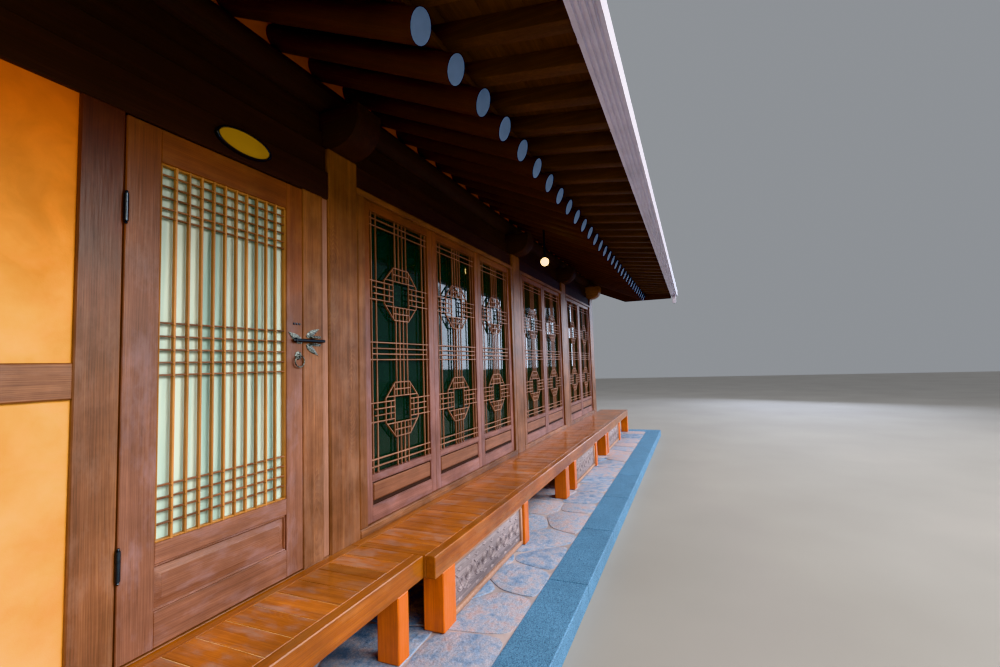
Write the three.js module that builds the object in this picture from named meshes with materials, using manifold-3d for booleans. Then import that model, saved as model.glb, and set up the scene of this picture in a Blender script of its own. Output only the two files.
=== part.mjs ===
// A single-wing Korean timber house (hanok) with a tiled gable roof, a narrow veranda
// and a lattice door, from the stone platform to the ridge.
// Millimetres. +X runs along the front, +Y into the house, +Z up.
// The origin is on the ground under the middle of the house.
import * as THREE from 'three';
import { mergeVertices } from 'three/addons/utils/BufferGeometryUtils.js';
import Module from 'manifold-3d';

const wasm = await Module();
wasm.setup();

// Driving dimensions of the plan
const bayWidths = [2400, 2970, 2200, 2200];
const houseDepth = 4200;
const postWidth = 250;
const platformBeyondPosts = 800;
const platformBeyondWall = 1184;
const kerbWidth = 273;

// Driving heights above the ground
const platformTop = 120;
const postFoot = 300;
const sillFoot = 480;
const floorTop = 545;
const deckTop = 565;
const doorHeadFoot = 2573;
const windowHeadFoot = 2695;
const lintelFoot = 2735;
const postTop = 2885;
const purlinSupportFoot = 3005;
const crossbeamTop = 3125;

// Clearances
const seatGap = 0.3;
const doorGap = 5;

// Places worked out from the plan
const houseLength = bayWidths.reduce((sum, width) => sum + width, 0);
const postLines = [-houseLength / 2];
for (const width of bayWidths) {
  postLines.push(postLines[postLines.length - 1] + width);
}
const postHalf = postWidth / 2;
const sideLine = houseLength / 2;
const wallLine = houseDepth / 2;
const frontFace = -wallLine - postHalf;
const outerSide = sideLine + postHalf;

// Materials: colour, roughness and metalness
function finish(colour, roughness, metalness = 0) {
  return () => new THREE.MeshStandardMaterial({ color: colour, roughness, metalness });
}
const granite = finish('#8fa3b5', 0.8);
const flagstone = finish('#b9b0ae', 0.85);
const masonry = finish('#a39a90', 0.9);
const darkTimber = finish('#4a2b1e', 0.55);
const brownTimber = finish('#7d4f38', 0.5);
const latticeTimber = finish('#96694a', 0.5);
const deckTimber = finish('#b0621f', 0.3);
const plaster = finish('#e9952f', 0.9);
const roofTile = finish('#4d5358', 0.75);
const panelTimber = finish('#9c8f84', 0.7);
const gutterSheet = finish('#d8d5e2', 0.4, 0.3);
const blackIron = finish('#1d1b1c', 0.45, 0.8);
const glassPane = finish('#5d6f6a', 0.05);
const lampGlass = finish('#ffe9b0', 0.3);

const house = new THREE.Group();

function place(name, geometry, material) {
  const mesh = new THREE.Mesh(geometry, material());
  mesh.name = name;
  house.add(mesh);
}

// Solids
function block([x0, x1], [y0, y1], [z0, z1]) {
  const geometry = new THREE.BoxGeometry(x1 - x0, y1 - y0, z1 - z0);
  geometry.translate((x0 + x1) / 2, (y0 + y1) / 2, (z0 + z1) / 2);
  return geometry;
}

function extrude(points, depth) {
  const outline = new THREE.Shape(points.map(([u, v]) => new THREE.Vector2(u, v)));
  return new THREE.ExtrudeGeometry(outline, { depth, bevelEnabled: false });
}

// An outline in Y and Z, drawn out along X
function prismAlongX(points, [x0, x1]) {
  const geometry = extrude(points, x1 - x0);
  const turn = new THREE.Matrix4().makeBasis(
    new THREE.Vector3(0, 1, 0), new THREE.Vector3(0, 0, 1), new THREE.Vector3(1, 0, 0));
  geometry.applyMatrix4(turn);
  geometry.translate(x0, 0, 0);
  return geometry;
}

// An outline in X and Z, drawn out along Y
function prismAlongY(points, [y0, y1]) {
  const geometry = extrude(points, y1 - y0);
  const turn = new THREE.Matrix4().makeBasis(
    new THREE.Vector3(1, 0, 0), new THREE.Vector3(0, 0, 1), new THREE.Vector3(0, -1, 0));
  geometry.applyMatrix4(turn);
  geometry.translate(0, y1, 0);
  return geometry;
}

// A closed form through rings of points, which run clockwise seen along the form
function loft(rings) {
  const size = rings[0].length;
  const faces = [];
  for (let ring = 0; ring + 1 < rings.length; ring += 1) {
    for (let i = 0; i < size; i += 1) {
      const a = ring * size + i;
      const b = ring * size + ((i + 1) % size);
      faces.push([a, b, b + size], [a, b + size, a + size]);
    }
  }
  const last = (rings.length - 1) * size;
  for (let i = 1; i + 1 < size; i += 1) {
    faces.push([0, i + 1, i], [last, last + i, last + i + 1]);
  }
  const geometry = new THREE.BufferGeometry();
  geometry.setAttribute('position', new THREE.Float32BufferAttribute(rings.flat(2), 3));
  geometry.setIndex(faces.flat());
  return geometry;
}

function toSolid(geometry) {
  const bare = geometry.clone();
  bare.deleteAttribute('normal');
  bare.deleteAttribute('uv');
  const merged = mergeVertices(bare);
  const mesh = new wasm.Mesh({
    numProp: 3,
    vertProperties: new Float32Array(merged.attributes.position.array),
    triVerts: new Uint32Array(merged.index.array),
  });
  return new wasm.Manifold(mesh);
}

function toGeometry(solid) {
  const mesh = solid.getMesh();
  const geometry = new THREE.BufferGeometry();
  geometry.setAttribute('position', new THREE.BufferAttribute(new Float32Array(mesh.vertProperties), 3));
  geometry.setIndex(new THREE.BufferAttribute(new Uint32Array(mesh.triVerts), 1));
  geometry.computeVertexNormals();
  return geometry;
}

function join(geometries) {
  return geometries.map(toSolid).reduce((whole, solid) => whole.add(solid));
}

function shape(geometries, cuts = []) {
  let solid = join(geometries);
  if (cuts.length > 0) {
    solid = solid.subtract(join(cuts));
  }
  return toGeometry(solid);
}

function mirrorY(geometry) {
  const copy = geometry.clone();
  copy.scale(1, -1, 1);
  const index = copy.index;
  for (let i = 0; i < index.count; i += 3) {
    const first = index.getX(i);
    index.setX(i, index.getX(i + 1));
    index.setX(i + 1, first);
  }
  copy.computeVertexNormals();
  return copy;
}

// Stone platform with a granite kerb around it
const platformX = sideLine + platformBeyondPosts;
const platformY = -frontFace + platformBeyondWall;
const flagX = platformX - kerbWidth;
const flagY = platformY - kerbWidth;

function addPlatform() {
  place('stone_platform', block([-flagX, flagX], [-flagY, flagY], [0, platformTop]), flagstone);
  place('kerb_stones', shape(
    [block([-platformX, platformX], [-platformY, platformY], [0, platformTop])],
    [block([-flagX, flagX], [-flagY, flagY], [-1, platformTop + 1])]), granite);
}

// Post boxes: the front row stands free, the back row is half buried in the wall
const buriedDepth = 55;
const backPostFront = wallLine - buriedDepth;

function frontPost(line) {
  return block([line - postHalf, line + postHalf], [frontFace, frontFace + postWidth], [postFoot, postTop]);
}

function backPost(line) {
  const corner = Math.abs(line) === sideLine;
  const inner = corner ? wallLine - postHalf : backPostFront;
  return block([line - postHalf, line + postHalf], [inner, -frontFace], [postFoot, postTop]);
}

// Raised floor on a masonry base. The foundation course under the posts stands out past the base
const baseSetback = 15;
const wallInnerDepth = 155;
const wallInnerX = sideLine - wallInnerDepth;
const wallInnerY = wallLine - wallInnerDepth;
const frameBack = frontFace + 140;
const courseX = sideLine + 165;
const courseY = -frontFace + 30;

function addFloor() {
  const base = block([-outerSide + baseSetback, outerSide - baseSetback],
    [frontFace + baseSetback, -frontFace - baseSetback], [platformTop, sillFoot]);
  const floor = block([-wallInnerX, wallInnerX], [frameBack, wallInnerY], [sillFoot - 5, floorTop]);
  const course = block([-courseX, courseX], [-courseY, courseY], [platformTop, postFoot]);
  const posts = postLines.flatMap((line) => [frontPost(line), backPost(line)]);
  place('floor_base', shape([base, floor, course], posts), masonry);
}

// Front posts
function addFrontPosts() {
  postLines.forEach((line, index) => {
    place(`front_post_${index + 1}`, frontPost(line), brownTimber);
  });
}

// Rafter line: round rafters lie on round purlins
const rafterPitch = THREE.MathUtils.degToRad(24.2);
const rafterRadius = 65;
const rafterSides = 8;
const rafterSpacing = 290;
const rafterEndY = frontFace - 1000;
const purlinRadius = 105;
const purlinSides = 16;
const purlinEnd = sideLine + 875;
const boardFoot = 57;
const boardDepth = 30;

const purlinFlat = purlinRadius * Math.cos(Math.PI / purlinSides);
const purlinZ = crossbeamTop + purlinFlat + seatGap;
const rafterFlat = rafterRadius * Math.cos(Math.PI / rafterSides);

// How far a polygon with a flat side at its foot reaches in a direction measured from upright
function polygonReach(radius, sides, lean) {
  const step = (2 * Math.PI) / sides;
  let reach = 0;
  for (let i = 0; i < sides; i += 1) {
    reach = Math.max(reach, radius * Math.cos((i + 0.5) * step - lean));
  }
  return reach;
}

const axisOffset = polygonReach(purlinRadius, purlinSides, rafterPitch) + rafterFlat + seatGap;
const rafterSlope = Math.tan(rafterPitch);
const seatY = -wallLine - axisOffset * Math.sin(rafterPitch);
const seatZ = purlinZ + axisOffset * Math.cos(rafterPitch);

function axisZ(y) {
  return seatZ + (y - seatY) * rafterSlope;
}

function aboveAxis(y, offset) {
  return axisZ(y) + offset / Math.cos(rafterPitch);
}

function boardTop(y) {
  return aboveAxis(y, boardFoot + boardDepth);
}

const ridgePurlinZ = axisZ(0) - axisOffset / Math.cos(rafterPitch);

function purlin(y, z, radius) {
  const geometry = new THREE.CylinderGeometry(radius, radius, 2 * purlinEnd, purlinSides);
  geometry.rotateY(Math.PI / purlinSides);
  geometry.rotateZ(-Math.PI / 2);
  geometry.translate(0, y, z);
  return geometry;
}

function addPurlins() {
  place('front_purlin', purlin(-wallLine, purlinZ, purlinRadius), darkTimber);
  place('back_purlin', purlin(wallLine, purlinZ, purlinRadius), darkTimber);
  place('ridge_purlin', purlin(0, ridgePurlinZ, purlinRadius), darkTimber);
}

// Crossbeams with a ridge post; their heads stand out past the posts
const crossbeamHalf = 105;
const beamHead = 200;
const ridgePost = { half: 80, depth: 150 };
const ridgePostTop = ridgePurlinZ - purlinFlat - seatGap;

function crossbeam(line) {
  return [
    block([line - crossbeamHalf, line + crossbeamHalf], [frontFace - beamHead, -frontFace + beamHead],
      [postTop, crossbeamTop]),
    block([line - ridgePost.half, line + ridgePost.half], [-ridgePost.depth, ridgePost.depth],
      [crossbeamTop - 5, ridgePostTop]),
  ];
}

function addCrossbeams() {
  postLines.slice(1, -1).forEach((line, index) => {
    place(`crossbeam_${index + 1}`, shape(crossbeam(line)), darkTimber);
  });
}

// Timber frames of the back wall and the gable ends
const midRail = [1512, 1635];
const footRail = [sillFoot, 600];
const timberSetback = 5;
const backWindow = { width: 1000, foot: 1300, head: 2300, trim: 70, strutHalf: 60 };
const backWindowLines = bayWidths.map((width, index) => (postLines[index] + postLines[index + 1]) / 2).slice(1);

function backRails() {
  const across = [-sideLine, sideLine];
  const depth = [backPostFront, -frontFace - timberSetback];
  return [
    block(across, depth, footRail),
    block(across, depth, [lintelFoot, postTop]),
    block([postLines[0], postLines[1]], depth, midRail),
  ];
}

function backWindowTrim(line, grow) {
  const half = backWindow.width / 2 + grow;
  return block([line - half, line + half], [backPostFront, -frontFace - timberSetback],
    [backWindow.foot - grow, backWindow.head + grow]);
}

function backStrut(line) {
  const across = [line - backWindow.strutHalf, line + backWindow.strutHalf];
  const depth = [backPostFront, -frontFace - timberSetback];
  return [
    block(across, depth, [footRail[1] - 5, backWindow.foot]),
    block(across, depth, [backWindow.head, lintelFoot + 5]),
  ];
}

function backFrame() {
  const timbers = [...backRails(), ...postLines.map(backPost)];
  for (const line of backWindowLines) {
    timbers.push(backWindowTrim(line, backWindow.trim), ...backStrut(line));
  }
  return join(timbers).subtract(join(backWindowLines.map((line) => backWindowTrim(line, 0))));
}

function gableFrame(side) {
  const line = side * sideLine;
  const depth = side > 0 ? [line - buriedDepth, outerSide - timberSetback]
    : [-outerSide + timberSetback, line + buriedDepth];
  const through = [depth[0] - 1, depth[1] + 1];
  const reach = wallLine - postHalf;
  const fields = [[-reach - 1, -postHalf], [postHalf, reach + 1]].flatMap((span) => [
    block(through, span, [footRail[1], midRail[0]]),
    block(through, span, [midRail[1], lintelFoot]),
  ]);
  const grid = toSolid(block(depth, [-reach, reach], [sillFoot, postTop + 5])).subtract(join(fields));
  return join(crossbeam(line)).add(grid);
}

// Walls: plaster over the inside, and between the timbers outside
const wallFace = 15;

function backWallCuts() {
  const openings = backWindowLines.map((line) => block(
    [line - backWindow.width / 2, line + backWindow.width / 2], [0, -frontFace + 1],
    [backWindow.foot, backWindow.head]));
  const beams = postLines.flatMap((line) => crossbeam(line).slice(0, 1));
  return join([...openings, ...beams]);
}

function addWalls() {
  const timbers = backFrame();
  place('back_timber_frame', toGeometry(timbers), brownTimber);
  const cornerInner = wallLine - postHalf;
  const backSlab = join([
    block([-wallInnerX, wallInnerX], [wallInnerY, cornerInner + 5], [sillFoot, crossbeamTop]),
    block([-sideLine + postHalf, sideLine - postHalf], [cornerInner, -frontFace - wallFace],
      [sillFoot, crossbeamTop]),
  ]);
  place('back_wall', toGeometry(backSlab.subtract(timbers).subtract(backWallCuts())), plaster);

  for (const side of [-1, 1]) {
    const name = side < 0 ? 'left' : 'right';
    const frame = gableFrame(side);
    place(`${name}_gable_frame`, toGeometry(frame), brownTimber);
    const eaveZ = aboveAxis(-cornerInner, -rafterFlat - seatGap);
    const peakZ = aboveAxis(0, -rafterFlat - seatGap);
    const outline = [[-cornerInner, sillFoot], [cornerInner, sillFoot], [cornerInner, eaveZ],
      [0, peakZ], [-cornerInner, eaveZ]];
    const across = side > 0 ? [wallInnerX, outerSide - wallFace] : [-outerSide + wallFace, -wallInnerX];
    const slab = toSolid(prismAlongX(outline, across));
    const ridgeHole = join([
      purlin(0, ridgePurlinZ, purlinRadius + seatGap),
      block([-purlinEnd, purlinEnd], [-purlinRadius, purlinRadius], [ridgePurlinZ, peakZ + 1]),
    ]);
    place(`${name}_wall`, toGeometry(slab.subtract(frame).subtract(ridgeHole)), plaster);
  }
}

// Back windows: a frame with a thin closed field for its papered lattice
const backSash = { front: 30, back: 70, rail: 55, recess: 25 };

function addBackWindows() {
  const face = [-frontFace - backSash.back, -frontFace - backSash.front];
  backWindowLines.forEach((line, index) => {
    const half = backWindow.width / 2 - 1;
    const outer = block([line - half, line + half], face, [backWindow.foot, backWindow.head - 1]);
    const field = block([line - half + backSash.rail, line + half - backSash.rail],
      [face[1] - backSash.recess, face[1] + 1],
      [backWindow.foot + backSash.rail, backWindow.head - 1 - backSash.rail]);
    place(`back_sash_${index + 1}`, shape([outer], [field]), latticeTimber);
  });
}

// Front bays: sill, jambs, head, lintel, infill board and purlin support
const jambWidth = 70;
const windowSillTop = 615;
const lintelDepth = [20, 170];
const infillDepth = [65, 125];
const supportDepth = [80, 170];

function bayEnds(index) {
  return [postLines[index] + postHalf, postLines[index + 1] - postHalf];
}

function bayHead([left, right]) {
  const overPosts = [left - postHalf + crossbeamHalf, right + postHalf - crossbeamHalf];
  const [lintel, infill, support] = [lintelDepth, infillDepth, supportDepth].map(
    (depth) => depth.map((inward) => frontFace + inward));
  return [
    block([left, right], lintel, [lintelFoot, postTop]),
    block(overPosts, infill, [postTop, purlinSupportFoot + 5]),
    block([left, right], infill, [postTop - 5, postTop + 5]),
    block(overPosts, support, [purlinSupportFoot, crossbeamTop]),
  ];
}

function windowFrame(index) {
  const [left, right] = bayEnds(index);
  const depth = [frontFace, frameBack];
  const jambZ = [windowSillTop - 5, windowHeadFoot + 5];
  return shape([
    ...bayHead([left, right]),
    block([left, right], depth, [sillFoot, windowSillTop]),
    block([left, right], depth, [windowHeadFoot, lintelFoot + 5]),
    block([left, left + jambWidth], depth, jambZ),
    block([right - jambWidth, right], depth, jambZ),
  ]);
}

// Door bay: the stud and jamb that hold the door, the rails round the plaster
const doorOpening = [-3654, -2804];
const studWidth = 136;
const jambRight = -2659;
const stud = [doorOpening[0] - studWidth, doorOpening[0]];
const plasterFoot = 645;
const stripSetback = 12;
const midRailDepth = 60;

function doorFrame() {
  const [left, right] = bayEnds(0);
  const depth = [frontFace, frameBack];
  return shape([
    ...bayHead([left, right]),
    block([left, right], depth, [sillFoot, deckTop]),
    block([left, stud[0] + 5], depth, [deckTop - 5, plasterFoot]),
    block([left, right], depth, [doorHeadFoot, lintelFoot + 5]),
    block(stud, depth, [deckTop - 5, doorHeadFoot + 5]),
    block([doorOpening[1], jambRight], depth, [deckTop - 5, doorHeadFoot + 5]),
    block([jambRight - 5, right], [frontFace + stripSetback, frameBack], [deckTop - 5, doorHeadFoot + 5]),
    block([left, stud[0] + 5], [frontFace, frontFace + midRailDepth], midRail),
  ]);
}

function addFrontBays() {
  place('front_bay_frame_1', doorFrame(), brownTimber);
  const [left] = bayEnds(0);
  place('front_plaster', shape(
    [block([left, stud[0]], [frontFace + wallFace, frameBack - 10], [plasterFoot, doorHeadFoot])],
    [block([left - 1, stud[0] + 1], [frontFace, frontFace + midRailDepth], midRail)]), plaster);
  for (const index of [1, 2, 3]) {
    place(`front_bay_frame_${index + 1}`, windowFrame(index), brownTimber);
  }
}

// Window leaves: stiles, rails and a low panel with a raised strip
const sashFace = 20;
const sashDepth = 40;
const sashStile = 70;
const sashTop = windowHeadFoot - 1;
const latticeFoot = 910;
const latticeHead = 2634;
const lowRecess = { z: [710, 870], depth: 12 };
const lowStrip = { z: [755, 849], inset: 30, face: 3 };
const glassDepth = 6;
const leavesInBay = [0, 3, 2, 2];

function windowLeaf(x0, x1) {
  const y0 = frontFace + sashFace;
  const inner = [x0 + sashStile, x1 - sashStile];
  const body = toSolid(block([x0, x1], [y0, y0 + sashDepth], [windowSillTop, sashTop]));
  const opening = toSolid(block(inner, [y0 - 1, y0 + sashDepth + 1], [latticeFoot, latticeHead]));
  const recess = toSolid(block(inner, [y0 - 1, y0 + lowRecess.depth], lowRecess.z));
  const strip = toSolid(block([inner[0] + lowStrip.inset, inner[1] - lowStrip.inset],
    [y0 + lowStrip.face, y0 + lowRecess.depth + 3], lowStrip.z));
  return body.subtract(opening).subtract(recess).add(strip);
}

// The leaves of a bay meet stile to stile
function addWindows() {
  for (const index of [1, 2, 3]) {
    const [left, right] = bayEnds(index);
    const count = leavesInBay[index];
    const pitch = (right - left - 2 * jambWidth) / count;
    const starts = Array.from({ length: count }, (_, leaf) => left + jambWidth + leaf * pitch);
    const leaves = starts.map((x0) => windowLeaf(x0, x0 + pitch));
    place(`window_leaves_${index}`, toGeometry(leaves.reduce((row, leaf) => row.add(leaf))), latticeTimber);
    const glassFace = frontFace + sashFace + sashDepth;
    place(`window_glass_${index}`, block([left + jambWidth, right - jambWidth],
      [glassFace, glassFace + glassDepth], [windowSillTop, sashTop]), glassPane);
  }
}

// Door leaf with its lattice opening, a raised panel and a rebate for the glass
const leafX = [doorOpening[0] + doorGap, doorOpening[1] - doorGap];
const leafFoot = deckTop + 8;
const leafTop = doorHeadFoot - 8;
const leafDepth = 45;
const doorLattice = { x: [-3525, -2913], z: [952, 2430] };
const doorPanel = { x: [-3536, -2919], z: [705, 875], depth: 10, bevel: 28, face: 2 };
const rebate = 12;
const rebateDepth = 15;

function addDoor() {
  const face = [frontFace, frontFace + leafDepth];
  const body = toSolid(block(leafX, face, [leafFoot, leafTop]));
  const opening = toSolid(block(doorLattice.x, [face[0] - 1, face[1] + 1], doorLattice.z));
  const rebateX = [doorLattice.x[0] - rebate, doorLattice.x[1] + rebate];
  const rebateZ = [doorLattice.z[0] - rebate, doorLattice.z[1] + rebate];
  const pocket = toSolid(block(rebateX, [face[1] - rebateDepth, face[1] + 1], rebateZ));
  const recess = toSolid(block(doorPanel.x, [face[0] - 1, face[0] + doorPanel.depth], doorPanel.z));
  const field = toSolid(block([doorPanel.x[0] + doorPanel.bevel, doorPanel.x[1] - doorPanel.bevel],
    [face[0] + doorPanel.face, face[0] + doorPanel.depth + 5],
    [doorPanel.z[0] + doorPanel.bevel, doorPanel.z[1] - doorPanel.bevel]));
  place('door_leaf', toGeometry(body.subtract(opening).subtract(pocket).subtract(recess).add(field)),
    brownTimber);
  place('door_glass', block([rebateX[0] + 1, rebateX[1] - 1],
    [face[1] - rebateDepth, face[1] - rebateDepth + glassDepth], [rebateZ[0], rebateZ[1] - 1]), glassPane);
}

// Butt hinges: knuckles stand in front of the faces, plates lie in the gap beside the leaf
const hingeX = (doorOpening[0] + leafX[0]) / 2;
const hingeY = frontFace - 9;
const hingeFeet = { lower: 868, upper: 2155 };
const hingeHeight = 105;
const knuckleRadius = 8;
const pinRadius = 3;
const boreRadius = 3.8;
const middleKnuckle = [35, 70];
const plateSpan = [1, 36];
const plateThickness = 2;
const tabReach = 2;

function rod(radius, [z0, z1], sides) {
  const geometry = new THREE.CylinderGeometry(radius, radius, z1 - z0, sides);
  geometry.rotateX(Math.PI / 2);
  geometry.translate(hingeX, hingeY, (z0 + z1) / 2);
  return geometry;
}

function addHinge(name, foot) {
  const head = foot + hingeHeight;
  const middle = [foot + middleKnuckle[0], foot + middleKnuckle[1]];
  const [plateFront, plateBack] = plateSpan.map((inward) => frontFace + inward);
  const tabFront = hingeY - tabReach;
  const ends = [foot + 1, head - 1];
  const framePlate = [[plateBack, ends[0]], [plateBack, ends[1]], [tabFront, ends[1]], [tabFront, middle[1] + 1.5],
    [plateFront, middle[1] + 1.5], [plateFront, middle[0] - 1.5], [tabFront, middle[0] - 1.5], [tabFront, ends[0]]];
  const leafPlate = [[plateBack, ends[0]], [plateBack, ends[1]], [plateFront, ends[1]], [plateFront, middle[1] - 1],
    [tabFront, middle[1] - 1], [tabFront, middle[0] + 1], [plateFront, middle[0] + 1], [plateFront, ends[0]]];
  place(`hinge_frame_${name}`, shape([
    prismAlongX(framePlate, [doorOpening[0], doorOpening[0] + plateThickness]),
    rod(knuckleRadius, [foot, middle[0] - 0.5], 12),
    rod(knuckleRadius, [middle[1] + 0.5, head], 12),
    rod(pinRadius, [foot + 5, head - 5], 8),
  ]), blackIron);
  place(`hinge_leaf_${name}`, shape([
    prismAlongX(leafPlate, [leafX[0] - plateThickness, leafX[0]]),
    rod(knuckleRadius, middle, 12),
  ], [rod(boreRadius, [middle[0] - 1, middle[1] + 1], 12)]), blackIron);
}

// Ring handle and latch bar
const handle = { x: -2840, z: 1665, rosette: 22, plate: 8, ring: 30, bar: 4 };
const latch = { x: [-2882, -2661], z: [1737, 1753], y: [frontFace - 20, frontFace - 6] };
const latchPlate = { x: [latch.x[0] + 5, latch.x[0] + 35], z: [latch.z[0] - 20, latch.z[1] + 90], depth: 15 };

function addHandles() {
  const rosette = new THREE.CylinderGeometry(handle.rosette, handle.rosette, handle.plate, 12);
  rosette.translate(handle.x, frontFace - handle.plate / 2, handle.z);
  const knob = new THREE.CylinderGeometry(7, 9, 14, 10);
  knob.translate(handle.x, frontFace - 12, handle.z);
  const ring = new THREE.TorusGeometry(handle.ring, handle.bar, 6, 14);
  ring.rotateX(Math.PI / 2);
  ring.translate(handle.x, frontFace - 13, handle.z - handle.ring);
  place('door_handle', shape([rosette, knob, ring]), blackIron);
  place('door_latch', shape([
    block(latch.x, latch.y, latch.z),
    block(latchPlate.x, [frontFace - latchPlate.depth, frontFace], latchPlate.z),
  ]), blackIron);
}

// Veranda: rails flush with the boards, legs on the platform. The part before the door is shallower
// than the part before the windows, and short boards fill the gap between their cross rails.
const veranda = { end: 5400, step: -2450, nearDepth: 492, farDepth: 565, rail: 60, endRail: 80,
  legDepth: 126, legInset: 6 };
const railZ = [445, deckTop];
const boardZ = [525, deckTop];
const legZ = [platformTop, railZ[0] + 5];
const joistZ = [railZ[0] + 8, boardZ[0]];
const nearCross = [-2770, -2690];
const nearLegs = [[-5394, -5302], [-4046, -3954], [-2685, -2593]];
const farLegs = [[-2366, -2224], [-1040, -936], [290, 430], [680, 780], [1960, 2064],
  [2730, 2880], [2938, 3030], [4210, 4314], [5290, 5394]];
const joistLegs = [1, 2, 4, 6, 7];
const joist = { inset: 10, width: 50 };
const panelFace = [20, 50];
const panelGap = 10;
const panelSpans = [[-2224, -1040], [780, 1960], [3030, 4210]];

function verandaFrame([x0, x1], front, [wellStart, wellEnd], legs, extras, cuts) {
  const inner = [front + veranda.rail, frontFace - veranda.rail];
  const through = [railZ[0] - 1, railZ[1] + 1];
  const rails = toSolid(block([x0, x1], [front, frontFace], railZ));
  const open = [block([wellStart, wellEnd], inner, through), ...cuts];
  const legY = [front + veranda.legInset, front + veranda.legInset + veranda.legDepth];
  const carriers = legs.map((span) => block(span, legY, legZ));
  return toGeometry(rails.subtract(join(open)).add(join([...carriers, ...extras])));
}

function addVeranda() {
  const nearFront = frontFace - veranda.nearDepth;
  const farFront = frontFace - veranda.farDepth;
  const back = frontFace - veranda.rail;
  const innerNear = nearFront + veranda.rail;
  const innerFar = farFront + veranda.rail;
  const nearBoards = [-veranda.end + veranda.endRail, nearCross[0]];
  const farBoards = [veranda.step + veranda.rail, veranda.end - veranda.rail];
  const underFiller = block([nearCross[1], veranda.step + 1], [innerNear, back], [railZ[0] - 1, boardZ[0]]);
  const joists = joistLegs.map((number) => {
    const side = farLegs[number][0] + joist.inset;
    return block([side, side + joist.width], [innerFar - 5, back + 5], joistZ);
  });
  place('veranda_frame_1', verandaFrame([-veranda.end, veranda.step], nearFront, nearBoards, nearLegs, [],
    [underFiller]), deckTimber);
  place('veranda_frame_2', verandaFrame([veranda.step, veranda.end], farFront, farBoards, farLegs, joists, []),
    deckTimber);
  place('veranda_boards_1', block(nearBoards, [innerNear, back], boardZ), deckTimber);
  place('veranda_boards_2', block(farBoards, [innerFar, back], boardZ), deckTimber);
  panelSpans.forEach((span, index) => {
    place(`veranda_panel_${index + 1}`, block(span, panelFace.map((inward) => farFront + inward),
      [platformTop + panelGap, railZ[0]]), panelTimber);
  });
}

// Eaves: round rafters under boards, with squared flying rafters on top that reach further out
const flyingPitch = THREE.MathUtils.degToRad(8);
const flyingEndY = frontFace - 1530;
const flyingDepth = 90;
const flyingHalf = 40;
const eaveBoard = 25;
const boardEndY = rafterEndY + 45;
const outerRafter = 19;
const ridgeGap = -0.5;
const ridgeSeatZ = 4790;
const flyingSlope = Math.tan(flyingPitch);
const kneeZ = boardTop(boardEndY);

// A line that leaves the knee at the flying pitch, raised square to itself
function flyingLine(y, raise) {
  return kneeZ + (y - boardEndY) * flyingSlope + raise / Math.cos(flyingPitch);
}

// Where that line meets the top of the boards
function meetBoards(raise) {
  return boardEndY + (raise / Math.cos(flyingPitch)) / (rafterSlope - flyingSlope);
}

function rafter(x) {
  const length = (0 - rafterEndY) / Math.cos(rafterPitch) + 100;
  const geometry = new THREE.CylinderGeometry(rafterRadius, rafterRadius, length, rafterSides);
  geometry.rotateY(Math.PI / rafterSides);
  geometry.translate(0, length / 2, 0);
  geometry.rotateX(rafterPitch);
  geometry.translate(x, rafterEndY, axisZ(rafterEndY));
  return geometry;
}

function flyingRafter(x) {
  const tip = meetBoards(flyingDepth);
  return prismAlongX([
    [flyingEndY, flyingLine(flyingEndY, 0)],
    [boardEndY, kneeZ - 3],
    [tip, boardTop(tip) - 3],
    [flyingEndY, flyingLine(flyingEndY, flyingDepth)],
  ], [x - flyingHalf, x + flyingHalf]);
}

function eaveFrame() {
  const across = [-purlinEnd, purlinEnd];
  const timbers = [
    prismAlongX([
      [boardEndY, aboveAxis(boardEndY, boardFoot)],
      [ridgeGap, aboveAxis(ridgeGap, boardFoot)],
      [ridgeGap, boardTop(ridgeGap)],
      [boardEndY, kneeZ],
    ], across),
  ];
  const low = meetBoards(flyingDepth - 2);
  const high = meetBoards(flyingDepth + eaveBoard);
  timbers.push(prismAlongX([
    [flyingEndY, flyingLine(flyingEndY, flyingDepth - 2)],
    [low, boardTop(low) - 2],
    [high, boardTop(high)],
    [flyingEndY, flyingLine(flyingEndY, flyingDepth + eaveBoard)],
  ], across));
  for (let k = -outerRafter; k <= outerRafter; k += 1) {
    timbers.push(rafter(k * rafterSpacing), flyingRafter(k * rafterSpacing));
  }
  const pastRidge = block([-purlinEnd - 100, purlinEnd + 100], [ridgeGap, wallLine], [postTop, ridgeSeatZ + 1000]);
  return shape(timbers, [pastRidge]);
}

// Tiled slopes: a concave top over the clay fill, the ridge, and boards along the gables
const vergeX = sideLine + 1015;
const slopeEndY = flyingEndY - 25;
const eaveTop = 3130;
const ridgeBaseHalf = 120;
const eaveSteepness = 0.27;
const ridgeHalf = 85;
const ridgeHeight = 330;
const ridgeLift = 90;
const ridgeCourse = 60;
const bargeDepth = 300;
const bargeTipDepth = 170;
const bargeThickness = 45;

const slopeRun = -ridgeBaseHalf - slopeEndY;
const slopeBend = (ridgeSeatZ - eaveTop - eaveSteepness * slopeRun) / (slopeRun * slopeRun);

function slopeTop(y) {
  const inward = y - slopeEndY;
  return eaveTop + eaveSteepness * inward + slopeBend * inward * inward;
}

function slopeAngle(y) {
  return Math.atan(eaveSteepness + 2 * slopeBend * (y - slopeEndY));
}

function slopeBottomPoints(gap) {
  const high = meetBoards(flyingDepth + eaveBoard);
  return [
    [slopeEndY, flyingLine(slopeEndY, flyingDepth + eaveBoard) + gap],
    [high, boardTop(high) + gap],
  ];
}

// Half-round cover tiles: rows up the slope, and short ones that point out over each verge
const slopeSteps = 7;
const cover = { radius: 68, sink: 14, sides: 4, below: 20 };
const vergeTile = { count: 15, length: 310, first: 70, last: 130 };

function slopeY(step) {
  return slopeEndY + (slopeRun * step) / slopeSteps;
}

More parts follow.
